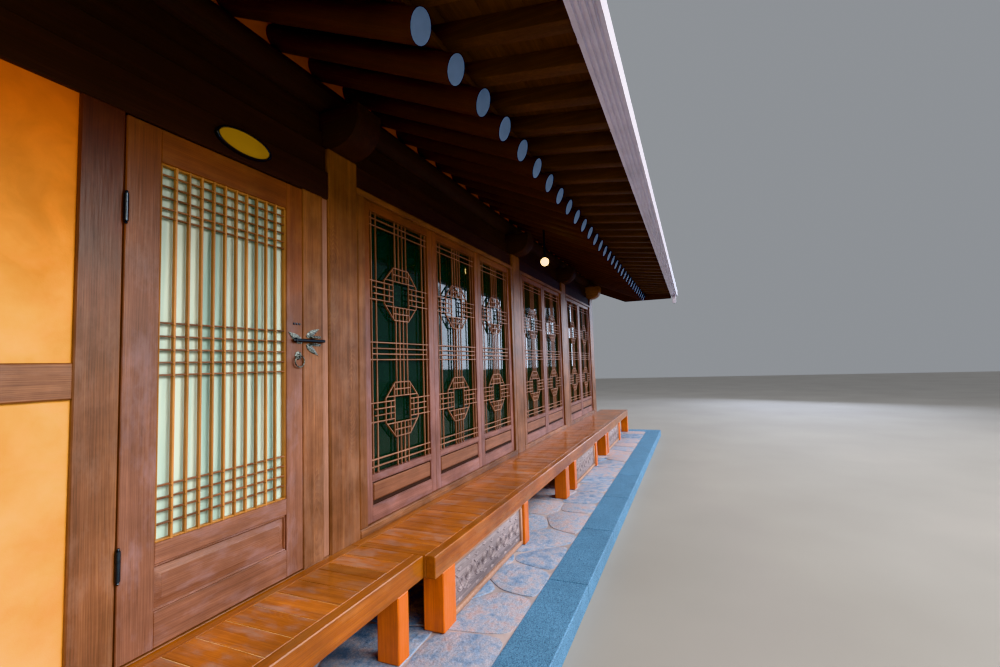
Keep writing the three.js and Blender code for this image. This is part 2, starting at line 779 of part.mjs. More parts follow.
function coverSection() {
  const points = [[-cover.radius, -cover.sink]];
  for (let i = 0; i <= cover.sides; i += 1) {
    const angle = Math.PI * (1 - i / cover.sides);
    points.push([cover.radius * Math.cos(angle), cover.radius * Math.sin(angle)]);
  }
  points.push([cover.radius, -cover.sink]);
  return points;
}

function coverRow(x) {
  const rings = [];
  for (let step = 0; step <= slopeSteps; step += 1) {
    const y = Math.min(Math.max(slopeY(step), slopeEndY + 2), -ridgeBaseHalf - 1);
    rings.push(coverSection().map(([across, up]) => [x + across, y, slopeTop(y) - cover.below + up]));
  }
  return loft(rings);
}

function sideTile(y, across) {
  const lean = slopeAngle(y);
  const outline = coverSection().map(([along, up]) => [
    y + along * Math.cos(lean) - up * Math.sin(lean),
    slopeTop(y) - cover.below + along * Math.sin(lean) + up * Math.cos(lean),
  ]);
  return prismAlongX(outline.reverse(), across);
}

function roofSlope() {
  const points = [...slopeBottomPoints(seatGap), [ridgeGap, boardTop(ridgeGap) + seatGap], [ridgeGap, ridgeSeatZ],
    [-ridgeBaseHalf, ridgeSeatZ]];
  for (let step = slopeSteps; step >= 0; step -= 1) {
    points.push([slopeY(step), slopeTop(slopeY(step)) - cover.below]);
  }
  const tiles = [];
  for (let k = -outerRafter; k <= outerRafter; k += 1) {
    tiles.push(coverRow(k * rafterSpacing));
  }
  for (let i = 0; i < vergeTile.count; i += 1) {
    const pitch = (slopeRun - vergeTile.first - vergeTile.last) / (vergeTile.count - 1);
    const y = slopeEndY + vergeTile.first + pitch * i;
    tiles.push(sideTile(y, [vergeX - vergeTile.length, vergeX - 2]));
    tiles.push(sideTile(y, [2 - vergeX, vergeTile.length - vergeX]));
  }
  return shape([prismAlongX(points, [-vergeX, vergeX]), ...tiles]);
}

function ridgeTopZ(x) {
  return ridgeSeatZ + ridgeHeight + ridgeLift * (x / vergeX) ** 4;
}

function ridge() {
  const steps = 16;
  const outline = [[-vergeX, ridgeSeatZ + 20], [vergeX, ridgeSeatZ + 20]];
  for (let i = steps; i >= 0; i -= 1) {
    const x = -vergeX + (2 * vergeX * i) / steps;
    outline.push([x, ridgeTopZ(x)]);
  }
  return shape([
    prismAlongY(outline, [-ridgeHalf, ridgeHalf]),
    block([-vergeX, vergeX], [-ridgeBaseHalf, ridgeBaseHalf], [ridgeSeatZ, ridgeSeatZ + ridgeCourse]),
  ]);
}

function bargeboard(side) {
  const half = [...slopeBottomPoints(0)];
  half[0] = [flyingEndY, flyingLine(flyingEndY, flyingDepth + eaveBoard)];
  const top = [...half, [0, boardTop(0)]];
  const mirrored = half.map(([y, z]) => [-y, z]).reverse();
  const drop = ([y, z]) => [y, z - bargeDepth];
  const bottom = [[-flyingEndY, half[0][1] - bargeTipDepth], drop(mirrored[0]), [0, boardTop(0) - 1.2 * bargeDepth],
    drop(half[1]), [flyingEndY, half[0][1] - bargeTipDepth]];
  const across = side > 0 ? [purlinEnd, purlinEnd + bargeThickness] : [-purlinEnd - bargeThickness, -purlinEnd];
  return prismAlongX([...bottom.reverse(), ...mirrored.reverse(), ...top.reverse()], across);
}

function addRoof() {
  const eaves = eaveFrame();
  place('eaves_front', eaves, darkTimber);
  place('eaves_back', mirrorY(eaves), darkTimber);
  const slope = roofSlope();
  place('roof_front', slope, roofTile);
  place('roof_back', mirrorY(slope), roofTile);
  place('roof_ridge', ridge(), roofTile);
  place('left_bargeboard', bargeboard(-1), darkTimber);
  place('right_bargeboard', bargeboard(1), darkTimber);
}

// Gutter along the front eave with a short outlet at its far end
const gutter = { width: 130, foot: 2925, innerTop: 3025, outerTop: 3045, wall: 4, outletX: 5650, outletHalf: 35 };

function addGutter() {
  const inner = flyingEndY;
  const outer = flyingEndY - gutter.width;
  const end = purlinEnd + bargeThickness;
  const wall = gutter.wall;
  const outlet = [gutter.outletX - gutter.outletHalf, gutter.outletX + gutter.outletHalf];
  const outletY = [outer + 30, inner - 30];
  const trough = [[outer, gutter.foot], [inner, gutter.foot], [inner, gutter.innerTop],
    [inner - wall, gutter.innerTop], [inner - wall, gutter.foot + wall], [outer + wall, gutter.foot + wall],
    [outer + wall, gutter.outerTop], [outer, gutter.outerTop]];
  const capY = [outer + 2, inner - 2];
  const capZ = [gutter.foot + 2, gutter.innerTop - 5];
  place('gutter', shape([
    prismAlongX(trough, [-end, end]),
    block([-end + 3, -end + 7], capY, capZ),
    block([end - 7, end - 3], capY, capZ),
    block(outlet, outletY, [gutter.foot - 160, gutter.foot + 2]),
  ], [
    block([outlet[0] + wall, outlet[1] - wall], [outletY[0] + wall, outletY[1] - wall],
      [gutter.foot - 161, gutter.foot + wall + 1]),
  ]), gutterSheet);
}

// Oval sign board on the door head, and a globe lamp under the rafters
const sign = { x: -3165, z: 2660, width: 290, height: 120, depth: 20 };
const lamp = { x: rafterSpacing, y: frontFace - 420, z: 2725, bulb: 45, stem: 12 };

function addSignAndLamp() {
  const board = new THREE.CylinderGeometry(sign.height / 2, sign.height / 2, sign.depth, 28);
  board.scale(sign.width / sign.height, 1, 1);
  board.translate(sign.x, frontFace - sign.depth / 2 - seatGap, sign.z);
  place('sign_board', board, latticeTimber);

  const bulb = new THREE.SphereGeometry(lamp.bulb, 14, 10);
  bulb.rotateX(Math.PI / 2);
  bulb.translate(lamp.x, lamp.y, lamp.z);
  const stemFoot = lamp.z + 0.67 * lamp.bulb;
  const stemTop = aboveAxis(lamp.y, -rafterFlat) - lamp.stem * rafterSlope - seatGap;
  const stem = new THREE.CylinderGeometry(lamp.stem, lamp.stem, stemTop - stemFoot, 10);
  stem.rotateX(Math.PI / 2);
  stem.translate(lamp.x, lamp.y, (stemTop + stemFoot) / 2);
  place('lamp', shape([bulb, stem]), lampGlass);
}

addPlatform();
addFloor();
addFrontPosts();
addWalls();
addBackWindows();
addFrontBays();
addWindows();
addDoor();
addHinge('lower', hingeFeet.lower);
addHinge('upper', hingeFeet.upper);
addHandles();
addVeranda();
addCrossbeams();
addPurlins();
addRoof();
addGutter();
addSignAndLamp();

export default house;
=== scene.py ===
# %% [markdown]
# # A Korean timber house, dressed for the camera
#
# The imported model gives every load-bearing piece at its real size. This lesson puts the
# finish on it: stained pine, varnished boards, clay plaster, granite, grey roof tiles and
# ironwork. It goes from the ground up, as the house is built. A piece that the model
# already has in its final shape keeps its mesh and gets a material. A piece that stands
# for many small ones, such as a roof slope for its tiles, is replaced here.

# %% Load the frame
import math
import random

import bmesh
import bpy
from mathutils import Matrix, Vector


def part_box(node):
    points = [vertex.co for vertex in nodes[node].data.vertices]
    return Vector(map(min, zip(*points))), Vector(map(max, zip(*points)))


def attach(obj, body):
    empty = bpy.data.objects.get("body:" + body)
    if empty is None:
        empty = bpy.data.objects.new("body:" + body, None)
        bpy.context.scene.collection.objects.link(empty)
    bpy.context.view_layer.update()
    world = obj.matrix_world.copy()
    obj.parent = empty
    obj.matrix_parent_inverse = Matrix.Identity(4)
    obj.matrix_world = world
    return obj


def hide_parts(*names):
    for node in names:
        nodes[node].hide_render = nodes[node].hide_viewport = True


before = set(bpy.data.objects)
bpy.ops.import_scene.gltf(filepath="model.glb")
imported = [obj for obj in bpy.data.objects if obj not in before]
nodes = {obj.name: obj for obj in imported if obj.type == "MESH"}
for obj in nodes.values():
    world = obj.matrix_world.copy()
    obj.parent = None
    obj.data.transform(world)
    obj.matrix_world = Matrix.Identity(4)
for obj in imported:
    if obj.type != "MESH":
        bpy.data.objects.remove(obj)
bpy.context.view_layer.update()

# %% [markdown]
# ## Small helpers
#
# Colours are written as the sRGB hex values that a paint chart gives, and Blender's
# shaders work in linear light, so one function turns them. Another adds a node to a tree
# with its settings and links, and hands back the node's output. The class Finish uses it
# for the few nodes that every surface here is made of, so a material reads from top to
# bottom as a list of what feeds what.

# %% Colours and nodes
MM = 0.001


def linear(hex_colour):
    values = [int(hex_colour[i:i + 2], 16) / 255 for i in (1, 3, 5)]
    return [v / 12.92 if v <= 0.04045 else ((v + 0.055) / 1.055) ** 2.4 for v in values] + [1.0]


def pick(sockets, key):
    """A live socket by its number or its name."""
    live = [socket for socket in sockets if socket.enabled]
    return live[key] if isinstance(key, int) else next(s for s in live if s.name == key)


def add(tree, kind, inputs=None, out=0, stops=(), **settings):
    """Adds a node, sets it, fills or links its inputs and gives back one of its outputs."""
    node = tree.nodes.new(kind)
    for name, value in settings.items():
        setattr(node, name, value)
    for number, (position, colour) in enumerate(stops):
        elements = node.color_ramp.elements
        element = elements[number] if number < 2 else elements.new(position)
        element.position, element.color = position, linear(colour)
    for key, value in (inputs or {}).items():
        socket = pick(node.inputs, key)
        if isinstance(value, bpy.types.NodeSocket):
            tree.links.new(value, socket)
        else:
            socket.default_value = value
    return pick(node.outputs, out) if node.outputs else node


class Finish:
    """A material in the making. Each method adds nodes and gives back an output, the last the material."""

    def __init__(self, name):
        self.material = bpy.data.materials.new(name)
        self.material.use_nodes = True
        self.tree = self.material.node_tree
        self.tree.nodes.clear()
        self.place = self.node("TexCoord", out="Object")

    def node(self, kind, inputs=None, out=0, **settings):
        return add(self.tree, f"ShaderNode{kind}", inputs, out, **settings)

    def tone(self):
        return self.node("Attribute", out="Fac", attribute_name="tone")

    def noise(self, place, scale, detail=2.0, roughness=0.5, distortion=0.0, out=0):
        return self.node("TexNoise", {"Vector": place, "Scale": scale, "Detail": detail,
                                      "Roughness": roughness, "Distortion": distortion}, out)

    def stretched(self, vector, *scale):
        return self.node("Mapping", {"Vector": vector, "Scale": scale})

    def shifted(self, value, factor, start):
        """start plus factor times value, for vectors."""
        return self.node("VectorMath", {0: value, 1: factor, 2: start}, operation="MULTIPLY_ADD")

    def plus(self, value, factor, start):
        """start plus factor times value, for numbers."""
        return self.node("Math", {0: value, 1: factor, 2: start}, operation="MULTIPLY_ADD")

    def spread(self, value, start, end, low=0.0, high=1.0, **settings):
        """Maps start to end onto low to high."""
        return self.node("MapRange", {"Value": value, "From Min": start, "From Max": end, "To Min": low,
                                      "To Max": high}, **settings)

    def ramp(self, factor, *stops):
        return self.node("ValToRGB", {"Fac": factor}, stops=stops)

    def tinted(self, colour, value):
        return self.node("HueSaturation", {"Color": colour, "Value": value})

    def mixed(self, share, colour, other, blend="MIX"):
        return self.node("Mix", {"Factor": share, "A": colour, "B": linear(other)}, "Result",
                         data_type="RGBA", blend_type=blend)

    def sheltered(self, colour, tint, clouds, sway, start, end, blend="MIX"):
        """Painted eave shade: mixes a darker tint in from start up to end, with a cloudy edge."""
        height = self.node("SeparateXYZ", {0: self.place}, "Z")
        under = self.spread(self.plus(clouds, sway, height), start, end, interpolation_type="SMOOTHSTEP")
        return self.mixed(under, colour, tint, blend)

    def bump(self, height, depth):
        return self.node("Bump", {"Height": height, "Distance": depth * MM})

    def close(self, colour, roughness, normal=None, **more):
        """Joins the shader. A further input is named in small letters with low lines."""
        inputs = {"Base Color": colour, "Roughness": roughness}
        inputs.update({key.replace("_", " ").title(): value for key, value in more.items()})
        if normal is not None:
            inputs["Normal"] = normal
        shader = self.node("BsdfPrincipled", inputs)
        self.node("OutputMaterial", {"Surface": shader})
        return self.material


# %% [markdown]
# ## Stained pine
#
# All the joinery is pine under an oil stain. Sawn timber shows growth rings cut along
# the trunk: long lines that crowd and part, with fine fibres between them. Rings round
# an axis that runs with the grain, bent by stretched noise, give both the lines of a
# stile and the flame shapes of a wide board. Each board carries its own number, "tone",
# as a mesh attribute, which moves the pattern and lightens or darkens the board, because
# no two boards come from one place in the tree. The grain must run along each timber, so
# most finishes come in three, one for each direction.

# %% Stained pine
RAFTER_PITCH = math.radians(24.2)
GRAIN_TURNS = {"X": (0, math.pi / 2, 0), "Y": (math.pi / 2, 0, 0), "Z": (0, 0, 0),
               "Front": (math.pi / 2 - RAFTER_PITCH, 0, 0), "Back": (math.pi / 2 + RAFTER_PITCH, 0, 0)}
RING_WIDTH = 7 * MM
FIBRE_WIDTH = 1.4 * MM
FIBRE_DEPTH = 0.25
WAVES_A_METRE = 0.314
RING_SETTINGS = {"wave_type": "RINGS", "rings_direction": "Z", "wave_profile": "SAW"}


def stained_pine(name, pale, mid, dark, axis, roughness=0.42, coat=0.0, contrast=0.6, patches=(0.8, 1.16),
                 worn=None, sheltered=None):
    """A grey may be mixed in cloudy patches, partly wear and partly painted sheen, and a tint that darkens
    the wood towards the top, as painted shade under the eave.
    """
    wood = Finish(f"{name}_{axis.lower()}")
    tone = wood.tone()
    moved = wood.shifted(tone, (3.7, 2.9, 5.3), wood.place)
    along = wood.node("Mapping", {"Vector": moved, "Rotation": GRAIN_TURNS[axis]})
    branches = wood.stretched(along, 3.4, 3.4, 0.8)
    knots = wood.node("TexVoronoi", {"Vector": branches, "Scale": 1.0}, "Distance")
    swirl = wood.spread(knots, 0.0, 0.3, 0.09, 0.0)
    long = wood.stretched(along, 1, 1, 0.06)
    bent = wood.shifted(wood.noise(long, 7.0, out="Color"), (0.08, 0.08, 0.08), long)
    round_knots = wood.node("VectorMath", {0: bent, 1: swirl}, operation="ADD")
    waves = {"Vector": round_knots, "Scale": WAVES_A_METRE / RING_WIDTH, "Distortion": 1.0, "Detail": 2.0}
    rings = wood.node("TexWave", {**waves, "Detail Scale": 2.0}, "Fac", **RING_SETTINGS)
    thin = wood.stretched(along, 1, 1, 0.02)
    fibres = wood.noise(thin, 0.5 / FIBRE_WIDTH, 3.0, 0.6)
    streaks = wood.noise(thin, 38.0, 3.0)
    figure = wood.spread(knots, 0.02, 0.055, 0.4, 0.0)
    for part, share in ((rings, 0.2), (fibres, 0.75), (streaks, 0.8)):
        figure = wood.plus(part, share * contrast, figure)
    figure = wood.plus(figure, 1.0, 0.5 - 0.87 * contrast)
    colour = wood.ramp(figure, (0.22, pale), (0.48, mid), (0.85, dark))
    clouds = wood.noise(wood.place, 3.1, 5.0, 0.6)
    # Cloudy patches of grey: partly wear, partly painted sheen.
    if worn:
        wear_and_sheen_patches = wood.noise(wood.stretched(along, 1, 1, 0.35), 13.0, 6.0, 0.68)
        colour = wood.mixed(wood.spread(wear_and_sheen_patches, 0.48, 0.66, 0.0, 0.5), colour, worn)
    # Painted shade: the wood darkens towards the top, as under the eave.
    if sheltered:
        colour = wood.sheltered(colour, sheltered, clouds, 0.6, 1.85, 2.75, "MULTIPLY")
    shade = wood.spread(clouds, 0.32, 0.68, *patches)
    value = wood.plus(shade, wood.spread(tone, 0.0, 1.0, 0.86, 1.12), 0.0)
    gloss = wood.spread(fibres, 0.3, 0.7, roughness - 0.06, roughness + 0.1)
    return wood.close(wood.tinted(colour, value), gloss, wood.bump(fibres, FIBRE_DEPTH), coat_weight=coat,
                      coat_roughness=0.12)


def three_ways(name, *colours, **settings):
    return [stained_pine(name, *colours, axis, **settings) for axis in "XYZ"]


# Dark browns for rafters and bargeboards: partly a dark stain, partly painted shade under the eave.
DARK_STAIN_AND_SHADE = ("#4A2212", "#32150B", "#180A05")
# A tint that darkens door and sash wood towards the top, as painted shade under the eave.
EAVE_SHADE_TINT = "#F0BE60"
OLD_BROWN = ("#A27250", "#7C523A", "#3E271C")
# The greys mixed in here and below are partly wear and partly painted sheen, as on varnished wood in grazing
# light.
OLD = {"patches": (0.55, 1.2), "worn": "#8C6A58"}
SMOOTH = {"patches": (0.7, 1.18), "sheltered": EAVE_SHADE_TINT}
# Posts take a faint painted eave shade, the stud beside the door a strong one.
brown_pine = three_ways("brown_stained_pine", *OLD_BROWN, contrast=0.75, sheltered="#FFF0C2", **OLD)
stud_pine = stained_pine("eave_shaded_pine", *OLD_BROWN, "Z", sheltered="#A8681A", **OLD)
door_pine = three_ways("door_stained_pine", "#9C6E5A", "#7A5343", "#452E27", worn="#8E7376", **SMOOTH)
sash_pine = three_ways("sash_stained_pine", "#9A7069", "#7B5650", "#4A332F", worn="#8B7078", **SMOOTH)
strip_pine = stained_pine("raised_strip_pine", "#9C6E58", "#7D5543", "#472D24", "X", patches=(0.8, 1.15))
lattice_pine = three_ways("light_stained_pine", "#B79385", "#916B5A", "#5A3D31", roughness=0.45)
warm_pine = three_ways("orange_stained_pine", "#C6955C", "#A9753F", "#6E4722", roughness=0.4)
# Near black: partly a dark stain, partly painted shade on the lintels, beams, purlins and recessed boards
# under the eave.
dark_and_shaded_pine = three_ways("dark_stain_and_shade_pine", "#3A1A0E", "#241008", "#120704", roughness=0.7)
# The soffit boards are dark partly as painted shade under the eave.
soffit_pine = three_ways("dark_and_shaded_board_pine", "#5E3A22", "#432812", "#201006", roughness=0.6)
leg_pine = three_ways("orange_varnished_pine", "#F08C1E", "#D46A0C", "#86420A", roughness=0.32, coat=0.5,
                      patches=(0.75, 1.2))
rail_pine = three_ways("varnished_pine", "#B36C24", "#8F4E12", "#552708", roughness=0.32, coat=0.5,
                       patches=(0.75, 1.25), worn="#94673C")
board_pine = three_ways("worn_varnished_pine", "#C27B34", "#A05A1C", "#5E2F0E", roughness=0.34, coat=0.4,
                        patches=(0.68, 1.22), worn="#94807A")
carved_pine = three_ways("weathered_carved_pine", "#AFA2A6", "#8E848B", "#4B444A", roughness=0.65,
                         contrast=0.8)
panel_pine = [stained_pine("bleached_frame_pine", "#CBA796", "#AB8776", "#705346", axis, roughness=0.55)
              for axis in "XZ"]
dark_rafter = {side: stained_pine("dark_stain_and_shade_pine", *DARK_STAIN_AND_SHADE, side, roughness=0.6)
               for side in ("Front", "Back")}
print("wood finishes:", len(bpy.data.materials))

# %% [markdown]
# ## Mineral finishes
#
# Clay plaster is troweled on by hand. It stays cloudy in colour where it dried faster,
# and the trowel leaves long shallow waves. Granite is a mix of pale feldspar, clear
# quartz and black mica grains a few millimetres wide. The path stones are split, so
# their faces are uneven and each has its own colour. Roof tiles are fired grey in a
# smoky kiln: matt, with a silver bloom here and there and dust in the hollows.

# %% Plaster, stone and tile


def clay_plaster(name, pale, mid, deep, roughness=0.88, sheltered=None):
    """Troweled plaster. A tint can darken it towards the top, as painted shade under the eave."""
    clay = Finish(name)
    clouds = clay.noise(clay.place, 1.6, 6.0, 0.6)
    colour = clay.ramp(clouds, (0.3, deep), (0.5, mid), (0.7, pale))
    # Painted shade under the eave: a deeper orange towards the top.
    if sheltered:
        colour = clay.sheltered(colour, sheltered, clouds, 0.5, 2.0, 2.95)
    patch = clay.spread(clay.noise(clay.place, 7.0, 4.0, distortion=0.6), 0.35, 0.65, 0.86, 1.08)
    height = clay.plus(clay.noise(clay.place, 11.0), 4.0, clay.noise(clay.place, 260.0))
    return clay.close(clay.tinted(colour, patch), roughness, clay.bump(height, 0.5))


def granite(name, pale, mid, dark, grain):
    """grain is the width of a grain in metres."""
    stone = Finish(name)
    grains = stone.node("TexVoronoi", {"Vector": stone.place, "Scale": 1 / grain}, "Color")
    speckle = stone.node("SeparateColor", {"Color": grains})
    colour = stone.ramp(speckle, (0.08, dark), (0.3, mid), (0.9, pale))
    worn = stone.plus(stone.noise(stone.place, 5.0, 4.0), 0.5, 0.62)
    value = stone.plus(stone.tone(), 0.14, worn)
    pits = stone.noise(stone.place, 190.0, 3.0)
    return stone.close(stone.tinted(colour, value), 0.7, stone.bump(pits, 0.8))


def split_stone(name, colours, roughness=0.75, depth=3, stain_scale=7.0, spread=0.45):
    """Colours go from the coldest to the warmest stain, and each stone leans to one of them."""
    stone = Finish(name)
    tone = stone.tone()
    moved = stone.shifted(tone, (9.1, 7.7, 3.3), stone.place)
    stain = stone.noise(moved, stain_scale, 8.0, 0.72)
    leaning = stone.plus(tone, spread, stone.plus(stain, 2.0, -0.5 - spread / 2))
    colour = stone.ramp(leaning, *[(i / (len(colours) - 1), shade) for i, shade in enumerate(colours)])
    speck = stone.spread(stone.noise(moved, 120.0, 4.0, 0.7), 0.35, 0.65, 0.8, 1.14)
    cleft = stone.noise(moved, 30.0, 8.0, 0.66)
    return stone.close(stone.tinted(colour, speck), roughness, stone.bump(cleft, depth))


# The plaster turns deep orange towards the top, as painted shade under the eave.
orange_plaster = clay_plaster("orange_clay_plaster", "#F5C480", "#E8AC5C", "#D88A3C", sheltered="#DC6A05")
kerb_granite = granite("grey_blue_granite", "#6A9DC6", "#4A7BA3", "#2B4C69", 3 * MM)
base_granite = granite("foundation_granite", "#B4AFAB", "#86817E", "#403D3B", 6 * MM)
path_stone = split_stone("split_path_stone", ["#56779E", "#7F98BA", "#A2A8BC", "#B5A1A6", "#BFB2B6"],
                         depth=11, stain_scale=12.0)
rubble_stone = split_stone("rubble_stone", ["#6F6A63", "#8C857B", "#A39A8C", "#7E756A"], depth=6)
lime_mortar = clay_plaster("lime_mortar", "#BFB0B2", "#ABA0A3", "#918A8D")
oiled_paper = clay_plaster("oiled_floor_paper", "#D9A858", "#CB953F", "#B78334", roughness=0.3)
roof_tile = split_stone("fired_grey_tile", ["#2F3437", "#3F4549", "#50575B", "#6A7175"], roughness=0.62,
                        depth=0.8)
# The clay bed is dark grey-brown, not reddish earth, as painted shadow under the tiles.
shadow_dark_bed_clay = clay_plaster("roof_clay_painted_as_shadow", "#5E564F", "#4C4640", "#3E3934")

# %% [markdown]
# ## Metal, glass and paper
#
# The gutter is coated sheet steel. Hinges, ring and bolt are blackened iron, smooth where
# hands rub them. Window glass is float glass with its faint green, over a dark room, and
# the door's pane is obscured, which turns it pale. The back windows carry paper of
# mulberry fibre, which is bright and slightly uneven.

# %% Metal, glass, paper and light


def plain_finish(name, colour, roughness, metallic=0.0, grain=400.0, depth=0.05):
    plain = Finish(name)
    wear = plain.noise(plain.place, 6.0, 4.0)
    tinted = plain.tinted(linear(colour), plain.spread(wear, 0.3, 0.7, 0.88, 1.05))
    gloss = plain.spread(wear, 0.0, 1.0, roughness - 0.07, roughness + 0.07)
    fine = plain.bump(plain.noise(plain.place, grain, 3.0), depth)
    return plain.close(tinted, gloss, fine, metallic=metallic)


def chased_iron(name):
    """Grey iron with a hammered face, pale where it is rubbed."""
    iron = Finish(name)
    chased = iron.noise(iron.place, 130.0, 6.0, 0.7)
    shades = iron.ramp(chased, (0.4, "#1E2427"), (0.62, "#9BA5A2"))
    return iron.close(shades, 0.38, iron.bump(chased, 1.2), metallic=0.7)


def pane(name, colour, clear, roughness, streak=None):
    """Drawn glass. streak is a second colour that runs through it in soft upright bands."""
    glass = Finish(name)
    shade = linear(colour)
    if streak:
        bands = glass.noise(glass.stretched(glass.place, 17.0, 17.0, 0.7), 1.0, 3.0)
        shade = glass.ramp(bands, (0.36, streak), (0.6, colour))
    drawn = glass.bump(glass.noise(glass.place, 2.5, 1.0), 1.5)
    return glass.close(shade, roughness, drawn, transmission_weight=clear)


def cloudy(name, one, other, scale, detail, roughness, **more):
    """Two colours in soft clouds."""
    clouds = Finish(name)
    haze = clouds.noise(clouds.place, scale, detail)
    return clouds.close(clouds.ramp(haze, (0.3, one), (0.7, other)), roughness, **more)


coated_sheet = plain_finish("coated_gutter_sheet", "#D9D6EA", 0.38, metallic=0.15)
black_iron = plain_finish("blackened_iron", "#46505A", 0.34, metallic=0.85, grain=600.0, depth=0.1)
worn_iron = chased_iron("worn_grey_iron")
white_paint = plain_finish("pale_end_paint", "#7E9AC2", 0.7)
pale_joint_strip = plain_finish("pale_joint_backing", "#D9B483", 0.7)
mulberry_paper = plain_finish("mulberry_paper", "#EDE6D6", 0.9, grain=90.0, depth=0.2)
sign_paint = plain_finish("yellow_sign_paint", "#C0932A", 0.5)
window_pane = pane("float_glass", "#33564A", 0.82, 0.03)
door_pane = pane("obscured_glass", "#D6E8DC", 0.1, 0.14, streak="#A0C2BC")
opal_bulb = cloudy("opal_bulb_glass", "#FFD99A", "#FFF3D6", 30.0, 2.0, 0.25,
                   emission_color=linear("#FFD99A"), emission_strength=6.0)
floor_finish = cloudy("pale_studio_floor", "#918F8C", "#999794", 0.6, 3.0, 0.8)
print("finishes in all:", len(bpy.data.materials))

# %% [markdown]
# ## A workbench for timber and stone
#
# Most pieces are sawn blocks, so one small class collects blocks, turned pieces and drawn
# outlines into a single mesh. From here on every measure is in millimetres, as on a
# drawing, and the class turns them into metres. Sawn timber never has a razor edge, so
# each block gets a small chamfer that catches the light. The block also stores its random
# tone and picks the wood whose grain runs along its longest side.

# %% The workbench
SIDES = (-1, 1)
CORNERS = [(x, y, z) for x in SIDES for y in SIDES for z in SIDES]
UP = (0, 0, 1)


def block_faces():
    """Faces of a chamfered block, which has three points at each corner, one for each way."""
    def at(axis, side, a, b, shift):
        spot = [0, 0, 0]
        spot[axis], spot[(axis + 1) % 3], spot[(axis + 2) % 3] = side, a, b
        return 3 * CORNERS.index(tuple(spot)) + (axis + shift) % 3

    square = ((-1, -1), (1, -1), (1, 1), (-1, 1))
    sides = [[at(axis, side, a, b, 0) for a, b in square] for axis in range(3) for side in SIDES]
    edges = [[at(axis, side, a, b, shift) for side, shift in ((-1, 1), (1, 1), (1, 2), (-1, 2))]
             for axis in range(3) for a, b in square]
    return sides + edges + [[3 * i, 3 * i + 1, 3 * i + 2] for i in range(8)]


BLOCK_FACES = block_faces()


def circle(count):
    return [2 * math.pi * i / count for i in range(count)]


class Workbench:
    """Collects pieces as one mesh, with a tone for each piece."""

    def __init__(self, seed):
        self.points, self.faces, self.tones, self.slots = [], [], [], []
        self.chance = random.Random(seed)

    def put(self, points, faces, slot=0, tone=None):
        first = len(self.points)
        self.points += [tuple(v * MM for v in point) for point in points]
        self.faces += [tuple(first + i for i in face) for face in faces]
        self.slots += slot if isinstance(slot, list) else [slot] * len(faces)
        self.tones += [self.chance.random() if tone is None else tone] * len(points)

    def block(self, x, y, z, chamfer=2, slot=None, tone=None, turn=None):
        """A sawn block between two places each way, turned about its middle if a turn is given."""
        spans = [sorted(span) for span in (x, y, z)]
        size = [high - low for low, high in spans]
        middle = Vector([(low + high) / 2 for low, high in spans])
        cut = min(chamfer, 0.45 * min(size))
        points = [Vector([corner[i] * (size[i] / 2 - cut * (i != axis)) for i in range(3)])
                  for corner in CORNERS for axis in range(3)]
        if slot is None:
            slot = size.index(max(size))
        self.put([middle + (turn @ p if turn else p) for p in points], BLOCK_FACES, slot, tone)

    def loft(self, rings, slot=0, tone=None, wrap=False):
        """Joins rings of points and closes both ends, or joins them too. Three slots are (side, end, end)."""
        size = len(rings[0])
        levels = range(len(rings) - (not wrap))
        faces = []
        for level in levels:
            low, high = level * size, (level + 1) % len(rings) * size
            faces += [[low + i, low + (i + 1) % size, high + (i + 1) % size, high + i] for i in range(size)]
        if isinstance(slot, tuple):
            slot = [slot[0]] * len(faces) + list(slot[1:])
        if not wrap:
            faces += [list(range(size)), [(len(rings) - 1) * size + i for i in range(size)]]
        self.put([point for ring in rings for point in ring], faces, slot, tone)

    def slab(self, outline, span, slot=0, tone=None, axis=0):
        """An outline of (y, z) drawn over a span of X, or one of (x, z) over a span of Y."""
        self.loft([[(u, end, v) if axis else (end, u, v) for u, v in outline] for end in span], slot, tone)

    def turned(self, centre, axis, profile, sides=20, slot=0, wrap=False):
        """A turned piece: profile is (distance along axis, radius) from end to end."""
        axis = Vector(axis)
        across = axis.orthogonal().normalized()
        upright = axis.cross(across)
        arms = [across * math.cos(turn) + upright * math.sin(turn) for turn in circle(sides)]
        self.loft([[Vector(centre) + axis * run + arm * max(radius, 0.02) for arm in arms]
                   for run, radius in profile], slot, 0.5, wrap)

    def finish(self, name, materials, replaces=(), body="house", slot=None, smooth=35.0, bevel=0):
        mesh = bpy.data.meshes.new(name)
        mesh.from_pydata(self.points, [], self.faces)
        for material in materials:
            mesh.materials.append(material)
        mesh.polygons.foreach_set("material_index", self.slots)
        mesh.attributes.new("tone", "FLOAT", "POINT").data.foreach_set("value", self.tones)
        turn_outwards(mesh)
        piece = bpy.data.objects.new(name, mesh)
        bpy.context.scene.collection.objects.link(piece)
        if bevel:
            edge = piece.modifiers.new("edges", "BEVEL")
            edge.width = bevel * MM
            edge.segments = 2
            edge.limit_method = "ANGLE"
        seat(piece, replaces, body, smooth)


def turn_outwards(mesh):
    """Makes the faces of every closed shell in a mesh point out of it."""
    shell = bmesh.new()
    shell.from_mesh(mesh)
    bmesh.ops.recalc_face_normals(shell, faces=shell.faces)
    shell.to_mesh(mesh)
    shell.free()


def soften(mesh, degrees):
    """Smooth faces that keep an edge where two of them meet at more than this angle."""
    mesh.polygons.foreach_set("use_smooth", [True] * len(mesh.polygons))
    mesh.set_sharp_from_angle(angle=math.radians(degrees))


